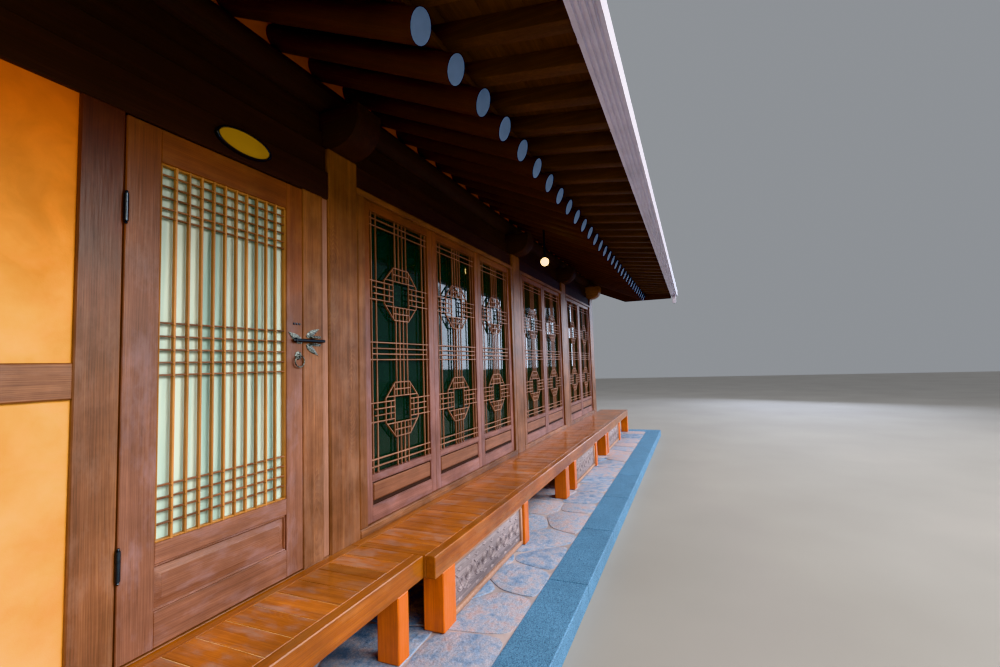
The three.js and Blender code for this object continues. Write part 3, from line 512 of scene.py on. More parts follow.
def seat(piece, replaces=(), body="house", smooth=35.0):
    """Turns live modifiers into plain mesh, rides the piece on its body, hides the parts it replaces and
    prints its face count.
    """
    if piece.modifiers:
        settle(piece)
    if smooth:
        soften(piece.data, smooth)
    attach(piece, body)
    if replaces:
        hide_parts(*replaces)
    print(f"{piece.name}: {len(piece.data.polygons)} faces")


def settle(piece):
    graph = bpy.context.evaluated_depsgraph_get()
    mesh = bpy.data.meshes.new_from_object(piece.evaluated_get(graph), preserve_all_data_layers=True,
                                           depsgraph=graph)
    piece.modifiers.clear()
    piece.data = mesh


def dress(node, material):
    """Gives a solid that keeps its mesh a new material."""
    nodes[node].data.materials.clear()
    nodes[node].data.materials.append(material)


# %% [markdown]
# Places are given as (low, high) pairs. A few short functions read them from the model,
# widen them, centre them and cut them into equal parts.

# %% Places


def limits(node):
    """A node's box as three (low, high) pairs."""
    low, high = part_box(node)
    return [(low[i] / MM, high[i] / MM) for i in range(3)]


def grow(span, by):
    return span[0] - by, span[1] + by


def around(middle, half):
    return middle - half, middle + half


def mirrored(side, near, far):
    """The places near and far, on the side of the house that the sign gives."""
    return side * near, side * far


def parts(span, length, gap=0):
    """Equal parts of a span, each about this long, with a gap between neighbours."""
    count = max(1, round((span[1] - span[0]) / length))
    pitch = (span[1] - span[0]) / count
    return [(span[0] + i * pitch + gap / 2, span[0] + (i + 1) * pitch - gap / 2) for i in range(count)]


def rectangle(x, z):
    return [(x[0], z[0]), (x[1], z[0]), (x[1], z[1]), (x[0], z[1])]


def strips(x, z, width):
    """Four strips inside a rectangle's edge: the two along X in full, then the two between them."""
    inner = grow(z, -width)
    return [(x, (z[0], inner[0])), (x, (inner[1], z[1])), ((x[0], x[0] + width), inner),
            ((x[1] - width, x[1]), inner)]


# %% [markdown]
# ## The stone platform
#
# The house stands on a low platform. Split path stones lie on a bed of lime mortar, each
# with a shape of its own, and long blocks of granite hold them in at the edge. Stones
# that fill a plane without gaps are the cells of a Voronoi pattern: each cell is what is
# left of the plane after cutting it halfway to every neighbour. Cut back by half a joint
# and with the corners worn round, the cells read as paving.

# %% Outlines for stones


def cut_polygon(polygon, point, normal):
    """What is left of a flat polygon behind the line through point that normal looks away from."""
    kept = []
    for a, b in zip(polygon, polygon[1:] + polygon[:1]):
        side_a = (Vector(a) - point).dot(normal)
        side_b = (Vector(b) - point).dot(normal)
        if side_a <= 0:
            kept.append(a)
        if side_a * side_b < 0:
            kept.append(tuple(Vector(a).lerp(Vector(b), side_a / (side_a - side_b))))
    return kept


def wear_corners(polygon, share):
    worn = []
    for a, b in zip(polygon, polygon[1:] + polygon[:1]):
        worn += [tuple(Vector(a).lerp(Vector(b), share)), tuple(Vector(a).lerp(Vector(b), 1 - share))]
    return worn


def cells(x, y, pitch, joint, chance):
    """Voronoi cells over a rectangle, each cut back by half a joint."""
    across, along = round((x[1] - x[0]) / pitch), round((y[1] - y[0]) / pitch)
    seeds = {}
    for i in range(across):
        for j in range(along):
            spread = [chance.uniform(0.12, 0.88), chance.uniform(0.12, 0.88)]
            seeds[i, j] = Vector((x[0] + (i + spread[0]) * (x[1] - x[0]) / across,
                                  y[0] + (j + spread[1]) * (y[1] - y[0]) / along))
    found = []
    for (i, j), seed in seeds.items():
        cell = rectangle(x, y)
        for di in range(-2, 3):
            for dj in range(-2, 3):
                other = seeds.get((i + di, j + dj))
                if other is not None and other is not seed:
                    normal = (other - seed).normalized()
                    cell = cut_polygon(cell, (seed + other) / 2 - normal * joint / 2, normal)
        found.append((seed, cell))
    return found


def lay_stone(bench, outline, low, high, edge):
    """A stone with a worn edge: side ring, shoulder ring and a slightly hollow top."""
    middle = sum((Vector(p) for p in outline), Vector((0, 0))) / len(outline)
    rings = []
    for inset, height in ((0, low), (0, high - edge), (0.35 * edge, high - 0.25 * edge), (1.6 * edge, high)):
        arms = [Vector(p) - middle for p in outline]
        rings.append([(*(middle + arm * (1 - inset / arm.length)), height) for arm in arms])
    bench.loft(rings)


# %% Paving
PAVING_PITCH = 430
PAVING_JOINT = 10
BED_DROP = 6
PAVING_EDGE = 5
CORNER_WEAR = (0.16, 0.25)
platform_x, platform_y, platform_z = limits("stone_platform")
base_x, base_y, base_z = limits("floor_base")
ground = platform_z[1]
paving = Workbench(seed=11)
paving.block(platform_x, platform_y, (0, ground - BED_DROP), slot=1, tone=0.5)
for seed, cell in cells(platform_x, platform_y, PAVING_PITCH, PAVING_JOINT, paving.chance):
    under_house = abs(seed.x) < base_x[1] - PAVING_PITCH and abs(seed.y) < base_y[1] - PAVING_PITCH
    if not under_house and len(cell) > 2:
        top = ground + paving.chance.uniform(-2, 1)
        outline = wear_corners(wear_corners(cell, CORNER_WEAR[0]), CORNER_WEAR[1])
        lay_stone(paving, outline, ground - 4 * BED_DROP, top, PAVING_EDGE)
paving.finish("path_stones", [path_stone, lime_mortar], ["stone_platform"], slot="flagstone")

# %% Kerb
KERB_LENGTH = 1000
KERB_JOINT = 4
KERB_CHAMFER = 5


def laid(axis, ends, across):
    """The X and Y spans of a block whose length runs along X (0) or Y (1)."""
    return (across, ends) if axis else (ends, across)


def row_of_blocks(bench, axis, span, across, heights, length, chamfer, slot=0):
    for ends in parts(span, length, KERB_JOINT):
        bench.block(*laid(axis, ends, across), heights, chamfer, slot)


kerb_x, kerb_y, kerb_z = limits("kerb_stones")
kerb = Workbench(seed=12)
kerb_width = kerb_x[1] - platform_x[1]
for side in SIDES:
    for axis, span, far in ((0, kerb_x, kerb_y[1]), (1, platform_y, kerb_x[1])):
        across = mirrored(side, far - kerb_width, far)
        row_of_blocks(kerb, axis, span, across, kerb_z, KERB_LENGTH, KERB_CHAMFER)
kerb.finish("granite_kerb", [kerb_granite], ["kerb_stones"], slot="granite")

# %% [markdown]
# ## Base, foundation stones and floor
#
# Behind the veranda a low wall of rubble carries the floor, and each post stands on a
# dressed block. Rubble is laid in rough courses with a thumb of mortar between, so rows
# of blocks with uneven lengths, pushed in and out by a few millimetres, are enough at
# this distance. Inside, the clay floor is covered with sheets of oiled paper.

# %% Base and floor
COURSES = 3
RUBBLE_DEPTH = 70
RUBBLE_JOINT = 12
RUBBLE_LENGTHS = (190, 430)
RUBBLE_CHAMFER = 11
RUBBLE_SETBACK = 9
SHORTEST_STONE = 90
END_GAP = 60
MORTAR_SETBACK = 16
PAPER_SHEET = 920
FOOT_STONE = 165
FOOT_STONE_DEPTH = 230
COURSE_SPAN = (60, 4)
COURSE_LENGTH = 620
sill_foot = 480
stone_top = 300
post_lines = [sum(limits(f"front_post_{i}")[0]) / 2 for i in range(1, 6)]
front_face = limits("front_post_1")[1][0]
base_edge_x = limits("front_post_5")[0][1] - 15
base_edge_y = -front_face - 15


def rubble_row(bench, axis, span, face, side, heights):
    place = span[0]
    while place < span[1] - END_GAP:
        length = min(bench.chance.uniform(*RUBBLE_LENGTHS), span[1] - place)
        if span[1] - place - length < SHORTEST_STONE:
            length = span[1] - place
        across = mirrored(side, face - RUBBLE_DEPTH, face - bench.chance.uniform(0, RUBBLE_SETBACK))
        ends = grow((place, place + length), -RUBBLE_JOINT / 2)
        bench.block(*laid(axis, ends, across), grow(heights, -RUBBLE_JOINT / 2), RUBBLE_CHAMFER, 0)
        place += length


base = Workbench(seed=21)
base.block(around(0, base_edge_x - MORTAR_SETBACK), around(0, base_edge_y - MORTAR_SETBACK),
           (ground, sill_foot), slot=1, tone=0.4)
for heights in parts((ground, sill_foot), (sill_foot - ground) / COURSES):
    for side in SIDES:
        rubble_row(base, 0, around(0, base_edge_x), base_edge_y, side, heights)
        rubble_row(base, 1, around(0, base_edge_y - RUBBLE_DEPTH), base_edge_x, side, heights)
for side in SIDES:
    course_x, course_y = (mirrored(side, far - COURSE_SPAN[0], far - COURSE_SPAN[1])
                          for far in (base_x[1], base_y[1]))
    for line, following in zip(post_lines, post_lines[1:] + [None]):
        base.block(around(line, FOOT_STONE), mirrored(side, base_y[1] - FOOT_STONE_DEPTH, base_y[1]),
                   (ground, stone_top - 0.2), 14, 2)
        if following is not None:
            row_of_blocks(base, 0, (line + FOOT_STONE, following - FOOT_STONE), course_y,
                          (ground, stone_top - 4), COURSE_LENGTH, 8, 2)
    row_of_blocks(base, 1, around(0, base_y[1] - FOOT_STONE_DEPTH), course_x, (ground, stone_top - 4),
                  COURSE_LENGTH, 8, 2)
base.finish("rubble_base", [rubble_stone, lime_mortar, base_granite], ["floor_base"], slot="masonry")

floor = Workbench(seed=22)
floor_top = base_z[1]
room_x, room_y = (-4730, 4730), (-2085, 1945)
floor.block(room_x, room_y, (sill_foot - 5, floor_top - 2), slot=0, tone=0.5)
for x in parts(room_x, PAPER_SHEET, 2):
    for y in parts(room_y, PAPER_SHEET, 2):
        floor.block(x, y, (floor_top - 3, floor_top), 0.5, 0)
floor.finish("papered_floor", [oiled_paper], slot="masonry")

# %% [markdown]
# ## Posts, rails and frames
#
# Every member of the frame is its own timber, so each one here is its own block with its
# own grain, in the places that the solid frame gives. Edges are planed off by a few
# millimetres, more on the posts, which people lean against.

# %% Front posts
POST_CHAMFER = 9
POSTS = [f"front_post_{i}" for i in range(1, 6)]
posts = Workbench(seed=31)
for name in POSTS:
    posts.block(*limits(name), POST_CHAMFER)
posts.finish("pine_posts", brown_pine, POSTS, slot="brown_timber")
post_top = limits("front_post_1")[2][1]
post_half = 125

# %% Frames of the front bays
LINTEL = (2735, post_top)
INFILL = (post_top, 3005)
SUPPORT = (3005, 3125)
DECK = 565
DOOR_HEAD = 2573
WINDOW_HEAD = 2695
WINDOW_SILL = 615
MID_RAIL = (1512, 1635)
JAMB = 70
BEAM_HALF = 105
FRAME_DEPTH = 140
LINTEL_DEPTH, INFILL_DEPTH, SUPPORT_DEPTH = (20, 170), (65, 125), (80, 170)
DOOR_GAP, STUD, DOOR_JAMB = 5, 136, 145
LOW_RAIL_TOP = 645
door_x, _, door_z = limits("door_leaf")
door_opening = grow(door_x, DOOR_GAP)
stud = (door_opening[0] - STUD, door_opening[0])
door_jamb = (door_opening[1], door_opening[1] + DOOR_JAMB)


def behind(near, far):
    """A span of Y measured from the front face of the posts inwards."""
    return front_face + near, front_face + far


def bay_ends(index):
    return post_lines[index] + post_half, post_lines[index + 1] - post_half


bays = Workbench(seed=32)
for index in range(4):
    ends = bay_ends(index)
    over = grow(ends, post_half - BEAM_HALF)
    y = behind(0, FRAME_DEPTH)
    # Lintel, infill and support take the near-black pine as painted shade under the eave.
    bays.block(ends, behind(*LINTEL_DEPTH), LINTEL, 6, 3)
    bays.block(over, behind(*INFILL_DEPTH), INFILL, 2, 3)
    bays.block(over, behind(*SUPPORT_DEPTH), SUPPORT, 6, 3)
    if index == 0:
        beside = (ends[0], stud[0])
        height = (DECK, DOOR_HEAD)
        bays.block(ends, y, (sill_foot, DECK), 4)
        bays.block(beside, behind(2, FRAME_DEPTH), (DECK - 1, LOW_RAIL_TOP), 4)
        # The door's head rail takes the same painted shade.
        bays.block(ends, y, (DOOR_HEAD, LINTEL[0]), 5, 3)
        bays.block(stud, y, height, 4, 5)
        bays.block(door_jamb, y, height, 4)
        bays.block((door_jamb[1] - 5, ends[1]), behind(12, FRAME_DEPTH), height, 3, 4)
        bays.block(beside, behind(0, 60), MID_RAIL, 5)
        continue
    bays.block(ends, y, (sill_foot, WINDOW_SILL), 8)
    bays.block(ends, y, (WINDOW_HEAD, LINTEL[0]), 4)
    for left in (ends[0], ends[1] - JAMB):
        bays.block((left, left + JAMB), y, (WINDOW_SILL, WINDOW_HEAD), 5)
bays.finish("front_bay_timbers", brown_pine + [dark_and_shaded_pine[0], lattice_pine[2], stud_pine],
            [f"front_bay_frame_{i}" for i in range(1, 5)], slot="brown_timber")

# %% [markdown]
# ## Back and gable frames
#
# The back and the ends show the same frame as the front with plaster between the
# timbers. The timbers stand a finger proud of the plaster, so they cast a thin line of
# shadow on it, which is what makes such a wall read as built and not painted.

# %% Back frame
FOOT_RAIL = (sill_foot, 600)
WALL_LINE = 2100
SIDE_LINE = post_lines[-1]
TIMBER_SETBACK = 5
RAIL_INSET = 55
WINDOW_HALF = 500
WINDOW_TRIM = 70
WINDOW_Z = (1300, 2300)
back_face = -front_face
corner_inner = WALL_LINE - post_half


def back_rail(x, z):
    back.block(x, (WALL_LINE - RAIL_INSET, back_face - TIMBER_SETBACK), z, 5)


back = Workbench(seed=33)
for line in post_lines:
    at_corner = abs(abs(line) - SIDE_LINE) < 1
    inner = corner_inner if at_corner else WALL_LINE - RAIL_INSET
    back.block(around(line, post_half), (inner, back_face), (stone_top, post_top), POST_CHAMFER)
for left, right in zip(post_lines, post_lines[1:]):
    for z in (FOOT_RAIL, LINTEL):
        back_rail(grow((left, right), 2 - post_half), z)
back_rail(bay_ends(0), MID_RAIL)
foot, head = WINDOW_Z
for line in [sum(post_lines[i:i + 2]) / 2 for i in (1, 2, 3)]:
    for z in ((foot - WINDOW_TRIM, foot), (head, head + WINDOW_TRIM)):
        back_rail(around(line, WINDOW_HALF + WINDOW_TRIM), z)
    for side in SIDES:
        back_rail((line + side * WINDOW_HALF, line + side * (WINDOW_HALF + WINDOW_TRIM)), WINDOW_Z)
    for z in ((FOOT_RAIL[1], foot - WINDOW_TRIM), (head + WINDOW_TRIM, LINTEL[0])):
        back_rail(around(line, 60), z)
back.finish("back_timbers", brown_pine, ["back_timber_frame"], slot="brown_timber")

# %% Crossbeams and gable frames
BEAM_TOP = 3125
BEAM_HEAD = 200
HEAD_STEPS = 7
NOSE_SHARE = 0.62
ridge_purlin_low = limits("ridge_purlin")[2][0]


def crossbeam(bench, line):
    """A beam whose ends are cut to a sweeping curve under a square nose, with the post it carries."""
    end = back_face + BEAM_HEAD
    rise = NOSE_SHARE * (BEAM_TOP - post_top)
    nose = [(end, BEAM_TOP), (end, post_top + rise)]
    for step in range(1, HEAD_STEPS + 1):
        angle = math.pi / 2 * step / HEAD_STEPS
        cut = (BEAM_HEAD - 15) * (1 - math.cos(angle)) + 8
        nose.append((end - cut, post_top + rise * (1 - math.sin(angle))))
    bench.slab(nose + [(-y, z) for y, z in reversed(nose)], around(line, BEAM_HALF), 1)
    bench.block(around(line, 80), around(0, 150), (BEAM_TOP - 2, ridge_purlin_low), 6)


beams = Workbench(seed=34)
for line in post_lines[1:-1]:
    crossbeam(beams, line)
beams.finish("crossbeams", dark_and_shaded_pine, [f"crossbeam_{i}" for i in (1, 2, 3)], slot="dark_timber", bevel=4)

gables = Workbench(seed=35)
for side in SIDES:
    crossbeam(gables, side * SIDE_LINE)
    x = mirrored(side, SIDE_LINE - RAIL_INSET, SIDE_LINE + post_half - TIMBER_SETBACK)
    for half in SIDES:
        for z in (FOOT_RAIL, MID_RAIL, LINTEL):
            gables.block(x, mirrored(half, post_half, corner_inner), z, 5)
    gables.block(x, around(0, post_half), (sill_foot, post_top), POST_CHAMFER)
gables.finish("gable_timbers", brown_pine, ["left_gable_frame", "right_gable_frame"], slot="brown_timber",
              bevel=4)

# %% Plaster
for name in ("front_plaster", "left_wall", "right_wall", "back_wall"):
    dress(name, orange_plaster)

# %% [markdown]
# ## Purlins, rafters and boards
#
# Round rafters lie on round purlins and carry boards, and squared flying rafters on top
# lift the eave's edge. Their ends are painted pale, as a seal against rain. A rafter is a
# peeled trunk, not a turned rod: it swells and shrinks by a few millimetres along its
# length, and so does its outline.

# %% Round timber
RAFTER_RADIUS = 65
RAFTER_SPACING = 290
OUTER_RAFTER = 19
rafter_end_y = front_face - 1000
eaves_x, eaves_y, _ = limits("eaves_front")


def trunk(bench, start, direction, length, radius, sides, steps, slots, wobble):
    """A peeled trunk from start along direction. slots are (side, first end, last end)."""
    direction = Vector(direction)
    across = direction.cross(Vector(UP)).normalized()
    upright = across.cross(direction)
    tone = bench.chance.random()
    phase = [bench.chance.uniform(0, 6.28) for _ in range(3)]
    rings = []
    for step in range(steps + 1):
        run = length * step / steps
        metres = run * MM
        ring = []
        for angle in circle(sides):
            waves = math.sin(2 * angle + phase[0] + 1.3 * metres) + 0.6 * math.sin(3 * angle + phase[1])
            swell = 1 + wobble * (waves + 0.8 * math.sin(2.1 * metres + phase[2])) / 2.4
            arm = across * math.cos(angle) + upright * math.sin(angle)
            ring.append(Vector(start) + direction * run + arm * radius * swell)
        rings.append(ring)
    bench.loft(rings, slots, tone)


PURLINS = ["front_purlin", "back_purlin", "ridge_purlin"]
purlins = Workbench(seed=41)
for name in PURLINS:
    x, y, z = limits(name)
    start = (x[0], sum(y) / 2, sum(z) / 2)
    trunk(purlins, start, (1, 0, 0), x[1] - x[0], (y[1] - y[0]) / 2, sides=28, steps=24, slots=(0, 3, 3),
          wobble=0.008)
purlins.finish("round_purlins", dark_and_shaded_pine + [white_paint], PURLINS, slot="dark_timber")

# %% Rafters
RAFTER_OVER_PURLIN = 164
BOARD_FOOT = 57
BOARD_TOP = BOARD_FOOT + 30
FLYING_PITCH = math.radians(8)
FLYING_DEPTH = 90
FLYING_HALF = 40
EAVE_BOARD = 25
EAVE_TOP = FLYING_DEPTH + EAVE_BOARD
purlin_height = sum(limits("front_purlin")[2]) / 2
board_end_y = rafter_end_y + 45
flying_end_y = eaves_y[0]


def axis_height(y, raised=0.0):
    """Height over the front half of the line that lies raised above the rafters' axis."""
    rise = (y + WALL_LINE) * math.tan(RAFTER_PITCH)
    return purlin_height + rise + (RAFTER_OVER_PURLIN + raised) / math.cos(RAFTER_PITCH)


knee = axis_height(board_end_y, BOARD_TOP)


def flying_height(y, raised=0.0):
    return knee + (y - board_end_y) * math.tan(FLYING_PITCH) + raised / math.cos(FLYING_PITCH)


def meet_boards(raised):
    """Where a line that lies raised above the flying rafters' foot runs into the boards."""
    slope = math.tan(RAFTER_PITCH) - math.tan(FLYING_PITCH)
    return board_end_y + raised / math.cos(FLYING_PITCH) / slope


rafter_lines = [k * RAFTER_SPACING for k in range(-OUTER_RAFTER, OUTER_RAFTER + 1)]
for side, way in (("Front", 1), ("Back", -1)):
    rafters = Workbench(seed=42 + way)
    for x in rafter_lines:
        start = (x, way * rafter_end_y, axis_height(rafter_end_y))
        trunk(rafters, start, (0, way * math.cos(RAFTER_PITCH), math.sin(RAFTER_PITCH)),
              -rafter_end_y / math.cos(RAFTER_PITCH), RAFTER_RADIUS, sides=20, steps=10, slots=(0, 1, 0),
              wobble=0.03)
    rafters.finish(f"{side.lower()}_rafters", [dark_rafter[side], white_paint], slot="dark_timber")

# %% Flying rafters and eave boards
BOARD_WIDTH = 180
EAVE_WIDTHS = 5


def sloped_board(bench, line, y, depth, way):
    """A board over the eaves' length between two y, its foot on a line of heights."""
    outline = rectangle(y, (0, depth))
    bench.slab([(way * v, line(v) + up) for v, up in outline], eaves_x)


tip = meet_boards(FLYING_DEPTH)
flying = [(flying_end_y, flying_height(flying_end_y)), (board_end_y, knee - 3),
          (tip, axis_height(tip, BOARD_TOP) - 3), (flying_end_y, flying_height(flying_end_y, FLYING_DEPTH))]
for side, way in (("front", 1), ("back", -1)):
    eaves = Workbench(seed=44 + way)
    for y0, y1 in parts((board_end_y, 0), BOARD_WIDTH * math.cos(RAFTER_PITCH)):
        lift = eaves.chance.uniform(0, 1.5)
        sloped_board(eaves, lambda y: axis_height(y, BOARD_FOOT) + lift, (y0, y1 - 2),
                     BOARD_TOP - BOARD_FOOT, way)
    for x in rafter_lines:
        eaves.slab([(way * y, z) for y, z in flying], around(x, FLYING_HALF), 1)
        eaves.block(around(x, FLYING_HALF - 3), mirrored(way, flying_end_y - 0.6, flying_end_y + 3),
                    grow((flying[0][1], flying[-1][1]), -3), 1, 3)
    high = meet_boards(EAVE_TOP) - 20
    for y0, y1 in parts((flying_end_y, high), (high - flying_end_y) / EAVE_WIDTHS):
        sloped_board(eaves, lambda y: flying_height(y, FLYING_DEPTH - 2), (y0, y1 - 2), EAVE_BOARD, way)
    eaves.finish(f"{side}_eave_boards", soffit_pine + [white_paint], [f"eaves_{side}"], slot="dark_timber",
                 bevel=2)

# %% [markdown]
# ## Plaster between the rafters
#
# Over the purlin the gaps between rafters are closed with the same orange plaster. The
# round rafters cut into each fill, so from below it shows as a row of scallops.

# %% Scallops
FILL_HALF = 35
FILL_FOOT = 80
fill = Workbench(seed=47)
for way in (1, -1):
    for x in [line + RAFTER_SPACING / 2 for line in rafter_lines[:-1]]:
        if abs(x) <= SIDE_LINE + post_half:
            fill.block(around(x, RAFTER_SPACING / 2 - 2), around(-way * WALL_LINE, FILL_HALF),
                       (purlin_height + FILL_FOOT, axis_height(-WALL_LINE, BOARD_FOOT) - 3), 6, 0)
# Up here the plaster takes its painted eave shade almost in full.
fill.finish("rafter_plaster", [orange_plaster], slot="plaster")

# %% [markdown]
# ## The door
#
# The leaf is framed in stiles and rails round a raised panel and a field of slender bars.
# Ten uprights stand in it, crossed by a group of rails at the top, one at the middle and
# one at the foot, which is the old "se-sal" pattern. The bars are halved into each other,
# deeper than they are wide, so seen from the side they close up. A pane stands behind.

# %% Door leaf
LEAF_DEPTH = 45
LATTICE_BAR = 9.5
CROSS_BAR = 7
PEG_HALF = 1.8
FIELD_X, FIELD_Z = (-3525, -2913), (952, 2430)
PANEL_X, PANEL_Z = (-3536, -2919), (705, 875)
PANEL_INSET = 11
PANEL_TONGUE = 8
PANEL_DEPTH = (11, 37)
FIELD_EDGE = 8
PANEL_LEVELS = ((0, 15), (0, 11), (26, 3), (27.5, 1.8))
UPRIGHTS = 10
CROSS_RAILS = (2215, 2250, 2295, 2340, 2385, 1585, 1634, 1684, 1737, 1790, 1018, 1066, 1114, 1162)


def ogee_edge(bench, x, y, z, width, slot=None):
    """A thin moulding round an opening."""
    for strip_x, strip_z in strips(x, z, width):
        bench.block(strip_x, y, strip_z, 0.45 * width, slot)


leaf = Workbench(seed=51)
y = behind(0, LEAF_DEPTH)
for x in ((door_x[0], FIELD_X[0]), (FIELD_X[1], door_x[1])):
    leaf.block(x, y, door_z, 3)
for z in ((door_z[0], PANEL_Z[0]), (PANEL_Z[1], FIELD_Z[0]), (FIELD_Z[1], door_z[1])):
    leaf.block(grow(FIELD_X, 1), grow(y, -0.6), z, 3)
leaf.block(grow(PANEL_X, PANEL_TONGUE), behind(*PANEL_DEPTH), grow(PANEL_Z, PANEL_TONGUE), 1)
panel_rings = []
for cut, depth in PANEL_LEVELS:
    rim = rectangle(grow(PANEL_X, -PANEL_INSET - cut), grow(PANEL_Z, -PANEL_INSET - cut))
    panel_rings.append([(x, front_face + depth, z) for x, z in rim])
leaf.loft(panel_rings, 0, 0.5)
ogee_edge(leaf, PANEL_X, behind(1, 13), PANEL_Z, 9)
ogee_edge(leaf, FIELD_X, behind(4, 31), FIELD_Z, FIELD_EDGE, 3)
leaf.finish("door_joinery", door_pine + [warm_pine[2]], ["door_leaf"], body="door", slot="brown_timber")

grille = Workbench(seed=52)
bar_front, bar_back = behind(3, 20)
left, right = grow(FIELD_X, -FIELD_EDGE)
uprights = [high for _, high in parts((left, right), (right - left) / (UPRIGHTS + 1))[:-1]]
for x in uprights:
    grille.block(around(x, LATTICE_BAR / 2), (bar_front, bar_back), FIELD_Z, 1.5)
for z in CROSS_RAILS:
    grille.block(FIELD_X, (bar_front + 4, bar_back - 1), around(z, CROSS_BAR / 2), 1.2, 4)
    for x in uprights:
        grille.block(around(x - 0.3 * LATTICE_BAR, PEG_HALF), (bar_front - 0.8, bar_front + 2),
                     around(z - CROSS_BAR, PEG_HALF), 0.8, 3)
grille.finish("door_lattice", warm_pine + [black_iron, brown_pine[0]], body="door", slot="lattice_timber")
dress("door_glass", door_pane)

# %% [markdown]
# ## Ironwork
#
# Hinges, ring and bolt are forged and blackened. The hinge knuckles turn round pins with
# ball ends. The ring hangs from a petalled rosette, and the bolt slides into a keeper on
# the jamb. The keeper's lugs pass over and under the bolt with room to spare, so the leaf
# can swing with the bolt drawn.

# %% Hinges
KNUCKLE = 8
KNUCKLE_LENGTH = 35
PIN_FORWARD = 9
PLATE_Y = behind(-11, 36)
LEAF_Y = behind(1, 36)
FINIAL = [(0, 4), (1.5, 3), (3.5, 5.2), (6.5, 6), (9.5, 4.8), (11.5, 2), (12, 0)]
hinge_spot = ((door_opening[0] + door_x[0]) / 2, front_face - PIN_FORWARD)


def pin(bench, z, profile, sides, way=1, wrap=False):
    """A piece turned about the hinge's pin."""
    bench.turned((*hinge_spot, z), (0, 0, way), profile, sides, wrap=wrap)


for name in ("lower", "upper"):
    foot, head = limits(f"hinge_frame_{name}")[2]
    low, high = foot + KNUCKLE_LENGTH, foot + 2 * KNUCKLE_LENGTH
    plate_x = (door_opening[0], door_opening[0] + 2)
    half = Workbench(seed=53)
    for y, z in ((PLATE_Y, (foot + 1, low - 1.5)), (PLATE_Y, (high + 1.5, head - 1)),
                 (LEAF_Y, (foot + 1, head - 1))):
        half.block(plate_x, y, z, 0.4, 0)
    for z0, z1 in ((foot, low - 0.5), (high + 0.5, head)):
        edge = KNUCKLE - 0.8
        pin(half, 0, [(z0, edge), (z0 + 0.8, KNUCKLE), (z1 - 0.8, KNUCKLE), (z1, edge)], 24)
    pin(half, 0, [(foot + 5, 3), (head - 5, 3)], 12)
    pin(half, head - 0.5, FINIAL, 16)
    pin(half, foot + 0.5, FINIAL, 16, -1)
    half.finish(f"{name}_hinge_frame_half", [black_iron], [f"hinge_frame_{name}"], slot="black_iron")
    half = Workbench(seed=54)
    for y, z in ((PLATE_Y, (low + 1, high - 1)), (LEAF_Y, (foot + 1, head - 1))):
        half.block((door_x[0] - 2, door_x[0]), y, z, 0.4, 0)
    pin(half, 0, [(low, 3.8), (low, KNUCKLE), (high, KNUCKLE), (high, 3.8)], 24, wrap=True)
    half.finish(f"{name}_hinge_leaf_half", [black_iron], [f"hinge_leaf_{name}"], body="door",
                slot="black_iron")

# %% Ring pull
HANDLE_X, HANDLE_Z = -2840, 1665
RING_RADIUS = 30
RING_THICKNESS = 3.6
STAPLE = [(0, 8), (3, 9), (6, 6), (10, 7), (14, 5), (15, 0)]


def flower_plate(bench, centre, radius, petals, steps):
    """A plate cut as a flower, domed a little, facing the front."""
    rim = []
    for angle in circle(petals * steps):
        reach = radius * (0.78 + 0.22 * abs(math.cos(petals * angle / 2)))
        rim.append((math.cos(angle) * reach, math.sin(angle) * reach))
    levels = [(1.0, 0.0), (1.0, 1.75), (0.9, 3.5), (0.45, 5.0)]
    bench.loft([[(centre[0] + x * scale, centre[1] - lift, centre[2] + z * scale) for x, z in rim]
                for scale, lift in levels], 0, 0.5)


pull = Workbench(seed=55)
flower_plate(pull, (HANDLE_X, front_face, HANDLE_Z), radius=24, petals=8, steps=6)
pull.turned((HANDLE_X, front_face - 4, HANDLE_Z), (0, -1, 0), STAPLE, 16)
ring_rounds = []
section = [(RING_RADIUS + RING_THICKNESS * math.cos(turn), RING_THICKNESS * math.sin(turn))
           for turn in circle(10)]
for angle in circle(40):
    ring_rounds.append([(HANDLE_X + reach * math.cos(angle), front_face - 13 - out,
                         HANDLE_Z - RING_RADIUS + reach * math.sin(angle)) for reach, out in section])
pull.loft(ring_rounds, 0, 0.5, wrap=True)
pull.finish("ring_pull", [worn_iron], ["door_handle"], body="door", slot="black_iron")

# %% Bolt, its plate and three studs
BAR_Z = (1737, 1753)
PLATE_THICK = 3
LUG_CLEAR = 6
latch_x, _, latch_z = limits("door_latch")


def leaf_plate(bench, x, z, heading, length, half, steps, slot=0):
    """A plate cut to a leaf's outline on the door's face, with a rib along its middle."""
    heading = math.radians(heading)
    along = Vector((math.cos(heading), 0, math.sin(heading)))
    aside = Vector((-math.sin(heading), 0, math.cos(heading)))
    tip = Vector((x, front_face - PLATE_THICK, z))
    outline = []
    for i in range(steps + 1):
        run = i / steps
        outline.append((run * length, half * math.sin(math.pi * run ** 0.75) * (1 - 0.25 * run)))
    outline += [(run, -reach) for run, reach in outline[-2:0:-1]]
    points = [tip + along * run + aside * reach for run, reach in outline]
    back = [p + Vector((0, PLATE_THICK, 0)) for p in points]
    rib = tip + along * (0.45 * length) - Vector((0, 1.5 * PLATE_THICK, 0))
    count = len(points)
    faces = [[i, (i + 1) % count, 2 * count] for i in range(count)]
    faces += [[i, (i + 1) % count, count + (i + 1) % count, count + i] for i in range(count)]
    bench.put(points + back + [rib], faces + [[count + i for i in range(count)]], slot, 0.5)


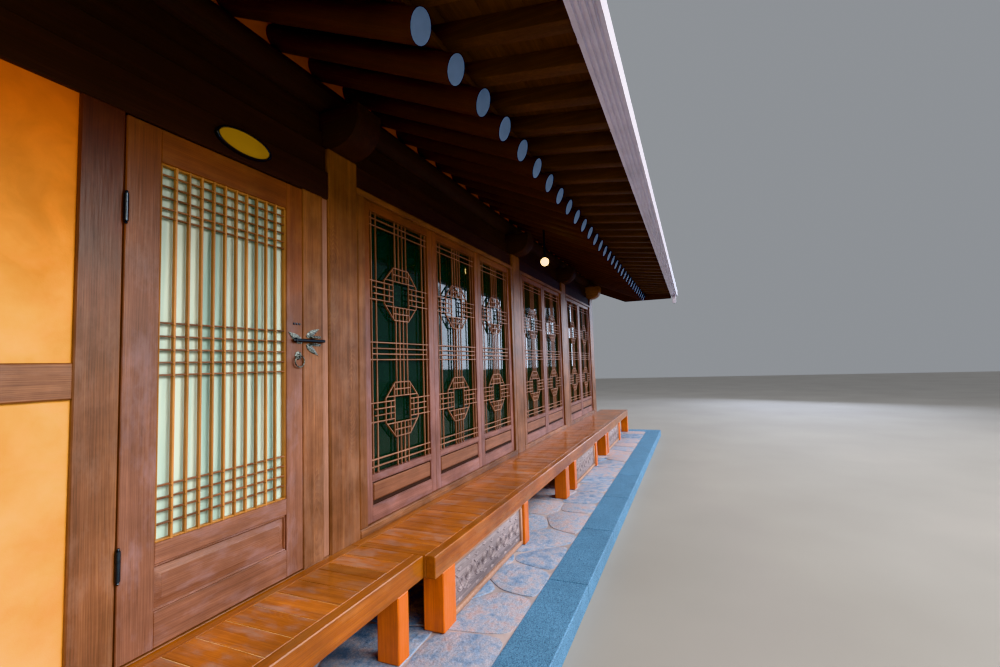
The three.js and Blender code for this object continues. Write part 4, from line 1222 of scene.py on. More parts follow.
bolt = Workbench(seed=56)
bolt.block(latch_x, behind(-20, -6), BAR_Z, 4, 0)
leaf_plate(bolt, door_x[1] - 3, BAR_Z[0] - 6, heading=149, length=108, half=23, steps=14, slot=1)
bolt.block((latch_x[0] + 14, latch_x[0] + 20), behind(-23, 0), grow(BAR_Z, 4), 1.5, 0)
for x in (-27, -9, 9):
    flower_plate(bolt, (HANDLE_X + x, front_face, latch_z[1] - 12), radius=7, petals=5, steps=4)
bolt.finish("sliding_bolt", [black_iron, worn_iron], ["door_latch"], body="door", slot="black_iron")

# %% Keeper on the jamb
keeper = Workbench(seed=57)
keeper_x = (door_opening[1] + 26, latch_x[1] - 20)
lug_x = (keeper_x[0] + 20, keeper_x[0] + 60)
for x, y, width, chamfer in ((keeper_x, behind(-PLATE_THICK, 0), 14, 1), (lug_x, behind(-20, 0), 6, 1.5)):
    for way, edge in ((-1, BAR_Z[0]), (1, BAR_Z[1])):
        keeper.block(x, y, (edge + way * LUG_CLEAR, edge + way * (LUG_CLEAR + width)), chamfer, 0)
for height, heading in ((BAR_Z[0] - 14, -34), (BAR_Z[1] + 14, 26)):
    leaf_plate(keeper, keeper_x[0] - 8, height, heading, length=104, half=17, steps=12)
keeper.finish("bolt_keeper", [worn_iron], slot="black_iron")

# %% [markdown]
# ## Lattice windows
#
# Each bay closes with two or three tall leaves. The bars draw two long octagons, one over
# the other, tied by four uprights, with a band of four rails at the middle and a pair of
# rails at the foot and the head. Inside each octagon a ring of little squares goes round
# an open middle. The pattern is drawn once for one leaf as a list of straight bars and
# then repeated, and each bar is a real stick with its own tone.

# %% Lattice pattern
BAR = 8
BAR_DEPTH = 12
STILE = 70
LATTICE_FOOT, LATTICE_HEAD = 910, 2634
OCTAGON_HEIGHTS = (1298, 2108)
OCTAGON_HALF, OCTAGON_HIGH = 197, 187
FLAT_HALF, UPRIGHT_HALF = 88, 80
MIDDLE_RAILS = (1644, 1682, 1719, 1759)
END_RAILS = (42, 88)
UPRIGHT_PAIR = (22.5, 67.5)
EDGE_PAIR = (24, 74)
SQUARE_PAIR = (21, 62)
OPEN_X, OPEN_Z = 97, 92
KEY = 140


def octagon_bars(x, z):
    """The bars of one octagon as (start, end) pairs round its centre."""
    ring = [(FLAT_HALF, OCTAGON_HIGH), (OCTAGON_HALF, UPRIGHT_HALF), (OCTAGON_HALF, -UPRIGHT_HALF),
            (FLAT_HALF, -OCTAGON_HIGH)]
    ring += [(-a, -b) for a, b in ring]
    bars = list(zip(ring, ring[1:] + ring[:1]))
    fall = (OCTAGON_HIGH - UPRIGHT_HALF) / (OCTAGON_HALF - FLAT_HALF)
    low_rail, high_rail = SQUARE_PAIR
    quarter = [((OPEN_X, 0), (OPEN_X, OCTAGON_HIGH - (OPEN_X - FLAT_HALF) * fall)),
               ((0, OPEN_Z), (OCTAGON_HALF - (OPEN_Z - UPRIGHT_HALF) / fall, OPEN_Z))]
    quarter += [((near, OPEN_Z), (near, OCTAGON_HIGH)) for near in UPRIGHT_PAIR]
    quarter += [((0, KEY), (OPEN_X, KEY)), ((OPEN_X, low_rail), (OCTAGON_HALF, low_rail)),
                ((OPEN_X, high_rail), (OCTAGON_HALF, high_rail)), ((KEY, 0), (KEY, high_rail))]
    for side in SIDES:
        for lift in SIDES:
            bars += [((side * a, lift * b), (side * c, lift * d)) for (a, b), (c, d) in quarter]
    return [((x + a, z + b), (x + c, z + d)) for (a, b), (c, d) in bars]


def leaf_bars(x0, x1):
    """Every bar of a leaf's lattice between its stiles."""
    middle = (x0 + x1) / 2
    foot, head = LATTICE_FOOT, LATTICE_HEAD
    bars = [((x, foot), (x, head)) for offset in EDGE_PAIR for x in (x0 + offset, x1 - offset)]
    for z in OCTAGON_HEIGHTS:
        bars += octagon_bars(middle, z)
        for side, edge in ((-1, x0), (1, x1)):
            short = edge - side * (EDGE_PAIR[1] - 30)
            rails = (-SQUARE_PAIR[1], -SQUARE_PAIR[0], *SQUARE_PAIR)
            for rail, reach in zip(rails, (edge, short, short, edge)):
                bars.append(((middle + side * OCTAGON_HALF, z + rail), (reach, z + rail)))
    rims = [z + way * OCTAGON_HIGH for z in OCTAGON_HEIGHTS for way in SIDES]
    stops = [foot, *rims, head]
    for offset in (-UPRIGHT_PAIR[1], -UPRIGHT_PAIR[0], *UPRIGHT_PAIR):
        bars += [((middle + offset, stops[i]), (middle + offset, stops[i + 1])) for i in (0, 2, 4)]
    for rail, inset in zip(MIDDLE_RAILS, (0, EDGE_PAIR[0], EDGE_PAIR[0], 0)):
        bars.append(((x0 + inset, rail), (x1 - inset, rail)))
    rails = [foot + lift for lift in END_RAILS] + [head - drop for drop in END_RAILS]
    return bars + [((x0, rail), (x1, rail)) for rail in rails]


def lay_bar(bench, start, end, front, depth, number):
    """A stick from start to end in the window's plane. Sticks lie a hair apart in depth."""
    a, b = Vector(start), Vector(end)
    run, middle = b - a, (a + b) / 2
    shift = 0.25 * (number % 4)
    turn = Matrix.Rotation(-math.atan2(run.y, run.x), 4, "Y")
    steep = abs(run.y) > abs(run.x)
    bench.block(around(middle.x, run.length / 2), (front + shift, front + depth - shift),
                around(middle.y, BAR / 2), 1.8, 2 if steep else 0, turn=turn)


# %% Window leaves
SASH_FRONT = 20
SASH_BACK = 60
LOW_PANEL = (710, 870)
STRIP_Z = (745, 852)
STRIP_INSET = 17
SASH_GAP = 1.6
for index, count in ((1, 3), (2, 2), (3, 2)):
    left, right = grow(bay_ends(index), -JAMB)
    sashes, lattice = Workbench(seed=60 + index), Workbench(seed=70 + index)
    for x0, x1 in parts((left, right), (right - left) / count, SASH_GAP):
        inner = grow((x0, x1), -STILE)
        sash = behind(SASH_FRONT, SASH_BACK)
        top = WINDOW_HEAD - 1
        for x in ((x0, inner[0]), (inner[1], x1)):
            sashes.block(x, sash, (WINDOW_SILL, top), 4)
        for z in ((WINDOW_SILL, LOW_PANEL[0]), (LOW_PANEL[1], LATTICE_FOOT), (LATTICE_HEAD, top)):
            sashes.block(grow(inner, 1), grow(sash, -0.6), z, 3)
        # The board behind the strip is near black, as painted shade in its recess.
        sashes.block(grow(inner, 5), behind(SASH_FRONT + 12, SASH_BACK - 6), grow(LOW_PANEL, 5), 1, 4)
        sashes.block(grow(inner, -STRIP_INSET), behind(SASH_FRONT + 3, SASH_FRONT + 15), STRIP_Z, 7, 3)
        ogee_edge(sashes, inner, behind(SASH_FRONT + 2, SASH_FRONT + 13), LOW_PANEL, 8)
        for number, bar in enumerate(leaf_bars(*inner)):
            lay_bar(lattice, *bar, front_face + SASH_FRONT + 6, BAR_DEPTH, number)
    sashes.finish(f"window_sashes_{index}", sash_pine + [strip_pine, dark_and_shaded_pine[0]],
                  [f"window_leaves_{index}"], slot="lattice_timber")
    lattice.finish(f"window_lattice_{index}", lattice_pine, slot="lattice_timber")
    dress(f"window_glass_{index}", window_pane)

# %% Back windows
SASH_RAIL = 55
PANES = (7, 9)
papers, back_bars = Workbench(seed=75), Workbench(seed=76)
BACK_SASHES = [f"back_sash_{i}" for i in (1, 2, 3)]
for name in BACK_SASHES:
    x, y, z = limits(name)
    for strip_z, strip_x in strips(z, x, SASH_RAIL):
        back_bars.block(strip_x, y, strip_z, 4)
    papers.block(grow(x, 4 - SASH_RAIL), (y[0] + 8, y[0] + 12), grow(z, 4 - SASH_RAIL), 0.5, 0)
    x, z = grow(x, -SASH_RAIL), grow(z, -SASH_RAIL)
    for _, place in parts(x, (x[1] - x[0]) / PANES[0])[:-1]:
        lay_bar(back_bars, (place, z[0]), (place, z[1]), y[0] + 12, 20, 0)
    for _, place in parts(z, (z[1] - z[0]) / PANES[1])[:-1]:
        lay_bar(back_bars, (x[0], place), (x[1], place), y[0] + 12, 20, 1)
back_bars.finish("back_window_lattice", lattice_pine, BACK_SASHES, slot="lattice_timber")
papers.finish("back_window_paper", [mulberry_paper], slot="lattice_timber")

# %% [markdown]
# ## The veranda
#
# A narrow deck runs along the front. Rails and legs are heavy timber, and short boards
# lie across between the rails over a pale strip, which shows as a pale line in each joint.
# All of it is varnished, so it is redder and shinier than the walls. Carved panels close
# three of the spaces below the deck: a pale frame round a board with a scrolling vine, a
# common ornament. The vine is a wave with curls in each bend, and each stem is a half-round
# rod swept along its line, so one function draws stem, curls and leaves.

# %% Deck
DECK_RAIL = 60
END_RAIL = 80
RAIL_FOOT = 445
BOARD_FOOT_Z = 525
DECK_BOARD = 130
BOARD_JOINT = 2.8
LEG_DEPTH = 132
NEAR_CROSS = (-2770, -2690)
NEAR_LEGS = [(-5394, -5302), (-4046, -3954), (-2685, -2593)]
FAR_LEGS = [(-2366, -2224), (-1040, -936), (290, 430), (680, 780), (1960, 2064), (2730, 2880), (2938, 3030),
            (4210, 4314), (5290, 5394)]
JOIST_LEGS = (1, 2, 4, 6, 7)
(near_end, _), (near_front, _), _ = limits("veranda_frame_1")
(step_x, far_end), (far_front, _), _ = limits("veranda_frame_2")
deck_back = behind(-DECK_RAIL, 0)


def between_rails(front):
    return front + DECK_RAIL, deck_back[0]


deck = Workbench(seed=81)
for x, front in (((near_end, step_x - 1), near_front), ((step_x, far_end), far_front)):
    deck.block(x, (front, front + DECK_RAIL), (RAIL_FOOT, DECK), 4, 0)
    deck.block(x, deck_back, (RAIL_FOOT, DECK - 0.4), 3, 0)
for x, front in (((near_end, near_end + END_RAIL), near_front), (NEAR_CROSS, near_front),
                 ((step_x, step_x + DECK_RAIL), far_front), ((far_end - DECK_RAIL, far_end), far_front)):
    deck.block(x, between_rails(front), (RAIL_FOOT, DECK - 0.3), 3, 1)
for legs, front in ((NEAR_LEGS, near_front), (FAR_LEGS, far_front)):
    for x in legs:
        deck.block(x, (front + 1.5, front + LEG_DEPTH), (ground, RAIL_FOOT + 2), 5, 2)
for number in JOIST_LEGS:
    x = FAR_LEGS[number][0]
    deck.block((x + 10, x + 60), between_rails(far_front), (RAIL_FOOT + 8, BOARD_FOOT_Z), 3, 1)
deck.finish("veranda_rails_and_legs", rail_pine[:2] + [leg_pine[2]], ["veranda_frame_1", "veranda_frame_2"],
            slot="deck_timber")

boards = Workbench(seed=82)
for x, front in (((near_end + END_RAIL, NEAR_CROSS[0]), near_front), ((NEAR_CROSS[1], step_x), near_front),
                 ((step_x + DECK_RAIL, far_end - DECK_RAIL), far_front)):
    y = between_rails(front)
    for board in parts(x, DECK_BOARD, BOARD_JOINT):
        drop = boards.chance.uniform(0, 0.8)
        boards.block(board, y, (BOARD_FOOT_Z, DECK - drop), 1.5, 1)
    # A pale strip under the boards shows as a pale line in each joint.
    boards.block(x, grow(y, -1), (BOARD_FOOT_Z + 2, DECK - 2.2), 0.5, 3)
boards.finish("deck_boards", board_pine + [pale_joint_strip], ["veranda_boards_1", "veranda_boards_2"],
              slot="deck_timber")

# %% Carved panels
PANEL_STRIP = 30
FIELD_RECESS = 15
VINE_PITCH = 118
CURL_TURNS = 1.6
CURL_STEPS = 22
STEM_SECTION = [(-1, 0), (-0.6, 0.75), (0, 1), (0.6, 0.75), (1, 0)]


def carved_line(bench, line, face, width, height):
    """A half-round stem along a line of (x, z) points, tapered to its end, on the board at y = face."""
    rings = []
    for i, spot in enumerate(line):
        ahead = Vector(line[min(i + 1, len(line) - 1)]) - Vector(line[max(i - 1, 0)])
        aside = Vector((-ahead.y, ahead.x)).normalized()
        taper = 1 - 0.55 * i / len(line)
        places = [(Vector(spot) + aside * out * width / 2 * taper, up) for out, up in STEM_SECTION]
        rings.append([(p.x, face - up * height * taper, p.y) for p, up in places])
    bench.loft(rings, 0, 0.5)


def vine(bench, x, z, face):
    """A scrolling vine over a field: a wave, three curls in each bend and sprays of leaves."""
    middle, reach = (z[0] + z[1]) / 2, (z[1] - z[0]) / 2
    bends = round((x[1] - x[0]) / VINE_PITCH)
    pitch = (x[1] - x[0]) / bends
    wave = [(x[0] + pitch * i / 10, middle + 0.55 * reach * math.cos(math.pi * i / 10))
            for i in range(bends * 10 + 1)]
    carved_line(bench, wave, face, 11, 7)
    for i in range(bends):
        way = 1 if i % 2 else -1
        centre = (x[0] + (i + 0.5) * pitch, middle + way * 0.1 * reach)
        for start, size in ((0.0, 0.42), (math.pi, 0.42), (math.pi / 2, 0.3)):
            curl = []
            for share in [step / (CURL_STEPS - 1) for step in range(CURL_STEPS)]:
                angle = start + way * CURL_TURNS * 2 * math.pi * share
                radius = size * pitch * (1 - 0.86 * share)
                curl.append((centre[0] + radius * math.cos(angle),
                             centre[1] + 0.95 * radius * math.sin(angle)))
            carved_line(bench, curl, face, 9, 7)
        for side in SIDES:
            tip = centre[1] + side * 0.72 * reach
            for lean in (-1, -0.35, 0.35, 1):
                spray = [(centre[0] + lean * 0.2 * pitch * share,
                          tip + side * reach * (0.2 * share - 0.1 * (lean * share) ** 2))
                         for share in (0.0, 0.25, 0.5, 0.75, 1.0)]
                carved_line(bench, spray, face, 14, 6)


for i in (1, 2, 3):
    x, y, z = limits(f"veranda_panel_{i}")
    panel = Workbench(seed=85 + i)
    bottom, top, left, right = strips(x, z, PANEL_STRIP)
    for (strip_x, strip_z), slot in ((top, 3), (bottom, 3), (left, 4), (right, 4)):
        panel.block(strip_x, y, strip_z, 3, slot)
    x, z = grow(x, -PANEL_STRIP), grow(z, -PANEL_STRIP)
    field = y[0] + FIELD_RECESS
    panel.block(grow(x, 2), (field + 6, y[1] - 2), grow(z, 2), 1, 0, tone=0.1)
    panel.block(grow(x, -6), (field, y[1] - 4), grow(z, -6), 3, 0)
    vine(panel, grow(x, -20), grow(z, -18), field)
    panel.finish(f"carved_panel_{i}", carved_pine + panel_pine, [f"veranda_panel_{i}"], slot="panel_timber",
                 smooth=50)

# %% [markdown]
# ## The tiled roof
#
# Curved pan tiles lie in columns with two thirds of each tile under the next, and half
# round cover tiles close the joints between the columns. The slope sags like a hanging
# rope, which is gentle at the eave and steeper at the ridge. One Geometry Nodes tree
# lays any of these tiles: a grid of points, raised to the curve of the roof, carries a
# tile at each point, turned to the slope there and shaken a little. The tree takes the
# tile, the counts and the distances as named inputs, so pans, covers, eave ends and verge
# tiles are four uses of one tree.

# %% Tile shapes
COVER_RADIUS, COVER_THICK, COVER_LENGTH = 74, 15, 300
PAN_HALF, PAN_SAG, PAN_THICK, PAN_LENGTH = 148, 42, 18, 330
PAN_STEPS = 6
VERGE_LENGTH = 308
DISC_LEVELS = [(1.0, 0), (1.0, -22), (0.86, -22), (0.84, -16), (0.36, -15), (0.3, -20), (0.0, -22)]


def half_round(radius, count=8):
    turns = [math.pi * i / count for i in range(count + 1)]
    return [(radius * math.cos(turn), radius * math.sin(turn)) for turn in turns]


def pan_line(half):
    shares = [2 * i / PAN_STEPS - 1 for i in range(PAN_STEPS + 1)]
    return [(half * share, PAN_SAG * share ** 2) for share in shares]


def template(name, bench):
    """An object in no collection, for the tree to copy."""
    mesh = bpy.data.meshes.new(name)
    mesh.from_pydata(bench.points, [], bench.faces)
    turn_outwards(mesh)
    soften(mesh, 40)
    return bpy.data.objects.new(name, mesh)


def curved_tile(name, outer, inner, length, taper=1.0, crosswise=False):
    """A tile between two lines of (across, height), drawn along Y, or along X if it lies crosswise."""
    bench = Workbench(seed=1)
    rings = [[(u * scale, run, v * scale) for u, v in outer + inner[::-1]]
             for run, scale in ((0, 1.0), (length, taper))]
    bench.loft([[(y, -x, z) for x, y, z in ring] for ring in rings] if crosswise else rings)
    return template(name, bench)


cover_lines = half_round(COVER_RADIUS), half_round(COVER_RADIUS - COVER_THICK)
cover_tile = curved_tile("cover_tile", *cover_lines, COVER_LENGTH, 0.93)
side_tile = curved_tile("side_tile", *cover_lines, VERGE_LENGTH, crosswise=True)
pan_top = pan_line(PAN_HALF)
pan_tile = curved_tile("pan_tile", pan_top, [(x, z - PAN_THICK) for x, z in pan_top], PAN_LENGTH, 0.94)
lip_top = pan_line(PAN_HALF - 6)
lip_foot = [(x, z - 62 * (1 - 0.35 * (x / PAN_HALF) ** 2)) for x, z in lip_top]
pan_end = curved_tile("pan_end", lip_top, lip_foot, 14)
disc = Workbench(seed=1)
disc_radius = COVER_RADIUS + 4
disc_profile = [(run, disc_radius * share) for share, run in DISC_LEVELS]
disc.turned((0, 0, 0.4 * disc_radius), (0, 1, 0), disc_profile, 18)
cover_end = template("cover_end", disc)

# %% Tile-laying tree
EAVE_STEEPNESS = 0.27
RIDGE_HALF = 120
eave_top, seat_top = 3130, 4790
slope_x, slope_y, _ = limits("roof_front")
slope_run = -RIDGE_HALF - slope_y[0]
slope_bend = (seat_top - eave_top - EAVE_STEEPNESS * slope_run) / slope_run ** 2


def slope_top(y):
    inward = y - slope_y[0]
    return eave_top + EAVE_STEEPNESS * inward + slope_bend * inward * inward


def tile_layer():
    """The tree works in metres, as all of Blender does."""
    tree = bpy.data.node_groups.new("lay_tiles", "GeometryNodeTree")
    kinds = {"Tile": "Object", "Columns": "Int", "Rows": "Int", "Seed": "Int"}
    for name in (*kinds, "Along", "Middle", "First Row", "Lift", "Tilt", "Shake", "Back Side"):
        kind = f"NodeSocket{kinds.get(name, 'Float')}"
        tree.interface.new_socket(name=name, in_out="INPUT", socket_type=kind)
    tree.interface.new_socket(name="Tiles", in_out="OUTPUT", socket_type="NodeSocketGeometry")
    given = {socket.name: socket for socket in tree.nodes.new("NodeGroupInput").outputs}

    def calc(operation, *values):
        return add(tree, "ShaderNodeMath", dict(enumerate(values)), operation=operation)

    def vector(**axes):
        return add(tree, "ShaderNodeCombineXYZ", axes)

    def geometry(kind, **inputs):
        named = {key.replace("_", " "): value for key, value in inputs.items()}
        return add(tree, f"GeometryNode{kind}", named)

    bend = slope_bend / MM
    seed = given["Seed"]
    width = calc("MULTIPLY", calc("SUBTRACT", given["Columns"], 1.0), RAFTER_SPACING * MM)
    height = calc("MULTIPLY", calc("SUBTRACT", given["Rows"], 1.0), given["Along"])
    grid = geometry("MeshGrid", Size_X=width, Size_Y=height, Vertices_X=given["Columns"],
                    Vertices_Y=given["Rows"])
    place = geometry("InputPosition")
    x, y = (add(tree, "ShaderNodeSeparateXYZ", {0: place}, out=axis) for axis in "XY")
    inward = calc("ADD", calc("MULTIPLY_ADD", height, 0.5, y), given["First Row"])
    rise = calc("MULTIPLY", inward, calc("MULTIPLY_ADD", bend, inward, EAVE_STEEPNESS))
    raised = calc("ADD", calc("ADD", eave_top * MM, given["Lift"]), rise)
    spot = vector(X=calc("ADD", x, given["Middle"]), Y=calc("ADD", slope_y[0] * MM, inward), Z=raised)
    points = geometry("SetPosition", Geometry=grid, Position=spot)
    slope = calc("ARCTANGENT", calc("MULTIPLY_ADD", 2.0 * bend, inward, EAVE_STEEPNESS))
    pitch = vector(X=calc("SUBTRACT", slope, given["Tilt"]))
    swing = vector(X=given["Shake"], Y=given["Shake"], Z=given["Shake"])
    back = add(tree, "ShaderNodeVectorMath", {0: swing, 1: (-1, -1, -1)}, operation="MULTIPLY")
    shaken = add(tree, "FunctionNodeRandomValue", {"Min": back, "Max": swing, "Seed": seed},
                 data_type="FLOAT_VECTOR")
    turn = add(tree, "ShaderNodeVectorMath", {0: pitch, 1: shaken}, operation="ADD")
    tile = add(tree, "GeometryNodeObjectInfo", {"Object": given["Tile"]}, out="Geometry")
    copies = geometry("InstanceOnPoints", Points=points, Instance=tile, Rotation=turn)
    tone = add(tree, "FunctionNodeRandomValue", {"Seed": seed}, data_type="FLOAT")
    toned = add(tree, "GeometryNodeStoreNamedAttribute", {"Geometry": copies, "Name": "tone", "Value": tone},
                data_type="FLOAT", domain="INSTANCE")
    real = geometry("RealizeInstances", Geometry=toned)
    half_turn = vector(Z=calc("MULTIPLY", given["Back Side"], math.pi))
    turned_round = geometry("Transform", Geometry=real, Rotation=half_turn)
    tiled = geometry("SetMaterial", Geometry=turned_round, Material=roof_tile)
    add(tree, "NodeGroupOutput", {"Tiles": tiled})
    return tree


tile_tree = tile_layer()


def lay(name, tile, columns, rows, along, first, shake, seed, back, lift, tilt=0.0, middle=0.0):
    """Runs the tree with these inputs and keeps what it lays as plain mesh."""
    piece = bpy.data.objects.new(name, bpy.data.meshes.new(name))
    bpy.context.scene.collection.objects.link(piece)
    layer = piece.modifiers.new("tiles", "NODES")
    layer.node_group = tile_tree
    given = {"Tile": tile, "Columns": columns, "Rows": rows, "Seed": seed, "Along": along * MM,
             "Middle": middle * MM, "First Row": first * MM, "Lift": lift * MM, "Tilt": math.radians(tilt),
             "Shake": shake, "Back Side": float(back)}
    for socket in tile_tree.interface.items_tree:
        if socket.in_out == "INPUT":
            layer[socket.identifier] = given[socket.name]
    seat(piece, smooth=0)


# %% Slopes of tiles
COVER_ROWS, PAN_ROWS = 14, 29
COVER_LIFT, PAN_LIFT = -20, -24
ONE_ROW = (2, 0.01)
covers = len(rafter_lines)
for side, back in (("front", 0), ("back", 1)):
    lay(f"{side}_pan_tiles", pan_tile, covers - 1, PAN_ROWS, slope_run / PAN_ROWS, first=14, shake=0.012,
        seed=3, back=back, lift=PAN_LIFT, tilt=6.5)
    lay(f"{side}_cover_tiles", cover_tile, covers, COVER_ROWS, slope_run / COVER_ROWS, first=20, shake=0.014,
        seed=5, back=back, lift=COVER_LIFT, tilt=1.6)
    for word, tile, columns, first, seed, lift in (("cover", cover_end, covers, 29, 7, COVER_LIFT),
                                                   ("pan", pan_end, covers - 1, 9, 9, PAN_LIFT)):
        lay(f"{side}_{word}_ends", tile, columns, *ONE_ROW, first, 0.01, seed, back, lift)

# %% Bed of clay, ridge and its end tiles
RIDGE_BASE = 60
RIDGE_BLOCK = 290
RIDGE_HEIGHT = 330
RIDGE_LIFT = 90
BED_STEPS = 12
BED_DEPTH = 62
RIDGE_COURSES = 6
CORE_HALVES = (88, 66)
COURSE_HALF, COURSE_STEP = 86, 1.5
SIDE_CAP_OUT, SIDE_CAP_RADIUS, TOP_CAP_RADIUS = 82, 56, 72
END_TILE_HUB = 120
ridge_end = limits("roof_ridge")[0][1]


def ridge_lift(x):
    return RIDGE_LIFT * (x / ridge_end) ** 4


bed_start = slope_y[0] + 22
high = meet_boards(EAVE_TOP)
bed_line = [bed_start + (slope_run + 20) * i / BED_STEPS for i in range(BED_STEPS + 1)]
bed_outline = [(y, slope_top(y) - BED_DEPTH) for y in bed_line]
bed_outline += [(-0.5, seat_top - 20), (-0.5, axis_height(0, BOARD_TOP) + 1),
                (high, axis_height(high, BOARD_TOP) + 1),
                (bed_start, flying_height(slope_y[0], EAVE_TOP) + 1)]
# The bed shows dark as painted shadow between and under the tiles.
for way, side in ((1, "front"), (-1, "back")):
    bed = Workbench(seed=91)
    bed.slab([(way * y, z) for y, z in bed_outline], grow(slope_x, -20))
    bed.finish(f"{side}_clay_bed", [shadow_dark_bed_clay], [f"roof_{side}"], slot="roof_tile", smooth=20)


def ridge_course(bench, half, z, core=False):
    """One course of the ridge in lengths that follow its lift, or its core of mortar."""
    for x in parts(around(0, ridge_end - 8 * core), RIDGE_BLOCK, 0 if core else 2):
        shift = 0 if core else bench.chance.uniform(-1, 1)
        outline = [(u, v + ridge_lift(u)) for u, v in rectangle(x, z)]
        bench.slab(outline, around(shift, half), int(core), axis=1)


def cap_row(bench, y, z, radius, level=False):
    """Half-round tiles end to end along the ridge."""
    for x0, x1 in parts(around(0, ridge_end), RIDGE_BLOCK):
        lap = 12 * (x1 < ridge_end - 1)
        rings = []
        for x, scale in ((x0, 0.94), (x1 + lap, 1.0)):
            height = z + (0 if level else ridge_lift(x))
            rings.append([(x, y + side * scale, height + up * scale) for side, up in half_round(radius)])
        bench.loft(rings)


ridge = Workbench(seed=92)
foot = seat_top + RIDGE_BASE
course_rise = (RIDGE_HEIGHT - RIDGE_BASE - 66) / RIDGE_COURSES
ridge_course(ridge, CORE_HALVES[0], (seat_top - 60, foot), core=True)
for side in SIDES:
    cap_row(ridge, side * SIDE_CAP_OUT, seat_top + 2, SIDE_CAP_RADIUS, level=True)
ridge_course(ridge, CORE_HALVES[1], (foot, foot + RIDGE_COURSES * course_rise + 20), core=True)
for course in range(RIDGE_COURSES):
    low = foot + course * course_rise
    ridge_course(ridge, COURSE_HALF - COURSE_STEP * course, (low + 6, low + course_rise - 4))
cap_row(ridge, 0, seat_top + RIDGE_HEIGHT - TOP_CAP_RADIUS - 1, TOP_CAP_RADIUS)
plate = [(-112, -60), (112, -60)] + [(y, 165 + z) for y, z in half_round(100, 12)]
hub = seat_top + 62 + RIDGE_LIFT + END_TILE_HUB
for side in SIDES:
    for shrink, out in ((1.0, 0), (0.8, 10), (0.45, 16)):
        ridge.slab([(y * shrink, hub + (z - END_TILE_HUB) * shrink) for y, z in plate],
                   mirrored(side, ridge_end - 40, ridge_end - 18 + out))
ridge.finish("tiled_ridge", [roof_tile, lime_mortar], ["roof_ridge"], slot="roof_tile", smooth=40)

# %% Verge tiles
VERGE_ROWS, VERGE_FIRST, VERGE_LAST = 20, 77, 130
verge_step = (slope_run - VERGE_FIRST - VERGE_LAST) / (VERGE_ROWS - 1)
for side, back in (("front", 0), ("back", 1)):
    for hand, word in ((-1, "left"), (1, "right")):
        end = hand * (slope_x[1] - 2) * (-1 if back else 1)
        lay(f"{side}_verge_tiles_{word}", side_tile, 1, VERGE_ROWS, verge_step, VERGE_FIRST, shake=0.008,
            seed=11, back=back, lift=COVER_LIFT, middle=end - VERGE_LENGTH * (end > 0))

# %% Bargeboards
BARGE_DEPTH = 300
TIP_DEPTH = 170
barge_x = limits("right_bargeboard")[0]
barge = Workbench(seed=94)
barge_top = [(flying_end_y, flying_height(flying_end_y, EAVE_TOP)), (high, axis_height(high, BOARD_TOP)),
             (-0.8, axis_height(0, BOARD_TOP))]
barge_foot = [(y, z - depth) for (y, z), depth in zip(barge_top, (TIP_DEPTH, BARGE_DEPTH, 1.2 * BARGE_DEPTH))]
for side in SIDES:
    for way, slot in ((1, 0), (-1, 1)):
        barge.slab([(way * y, z) for y, z in barge_top + barge_foot[::-1]], mirrored(side, *barge_x), slot)
barge.finish("bargeboards", list(dark_rafter.values()), ["left_bargeboard", "right_bargeboard"],
             slot="dark_timber", bevel=4)

# %% [markdown]
# ## The gutter
#
# The gutter is folded from coated sheet. Folds pressed along its bottom stiffen it and
# show from below as dark lines. It comes in lengths with a sleeve at each joint, hangs in
# strap brackets, and has a short outlet at its far end.

# %% Gutter
GUTTER_FOOT = 2925
GUTTER_TOPS = (3045, 3025)
GUTTER_LENGTH = 2900
SHEET = 3
FOLDS = (25, 50, 76, 101)
FOLD_SHAPE = ((-6, 0), (-3, 7), (3, 7), (6, 0))
OUTLET_X = (5615, 5685)
OUTLET_DROP = 160
gutter_x, gutter_y, _ = limits("gutter")


def folded_sheet(inset):
    """The gutter's line from its outer lip, down, along the folded bottom and up again."""
    (outer, inner), foot = grow(gutter_y, -inset), GUTTER_FOOT + inset
    folds = [(gutter_y[0] + fold + run, foot + rise) for fold in FOLDS for run, rise in FOLD_SHAPE]
    lips = [(edge, top - inset) for edge, top in zip((outer, inner), GUTTER_TOPS)]
    return [lips[0], (outer, foot), *folds, (inner, foot), lips[1]]


def sheet_run(x, inset, thick):
    trough.slab(folded_sheet(inset) + folded_sheet(inset + thick)[::-1], x, 0, 0.5)


def both_walls(span):
    return (span[0], span[0] + SHEET), (span[1] - SHEET, span[1])


trough = Workbench(seed=95)
sheet_run(gutter_x, 1, SHEET)
for _, joint in parts(gutter_x, GUTTER_LENGTH)[:-1]:
    sheet_run(around(joint, 30), 0.2, 2.4)
for x in (gutter_x[0] + 3, gutter_x[1] - 7):
    trough.block((x, x + 3), grow(gutter_y, -2), (GUTTER_FOOT + 8, GUTTER_TOPS[1] - 5), 1, 0)
outlet_y = grow(gutter_y, -30)
outlet_walls = [(x, outlet_y) for x in both_walls(OUTLET_X)] + [(OUTLET_X, y) for y in both_walls(outlet_y)]
for x, y in outlet_walls:
    trough.block(x, y, (GUTTER_FOOT - OUTLET_DROP, GUTTER_FOOT + 6), 1, 0)
for ends in parts(gutter_x, 3 * RAFTER_SPACING):
    trough.block(around(sum(ends) / 2, 14), (gutter_y[0] + 1, gutter_y[1] + 30),
                 (GUTTER_TOPS[1] - 4, GUTTER_TOPS[1] - 1), 1, 0)
trough.finish("folded_gutter", [coated_sheet], ["gutter"], slot="gutter_sheet", smooth=30)

# %% [markdown]
# ## Sign and lamp
#
# A small oval board hangs over the door, plain here, with a rim turned round its field.
# One globe lamp hangs under a rafter.

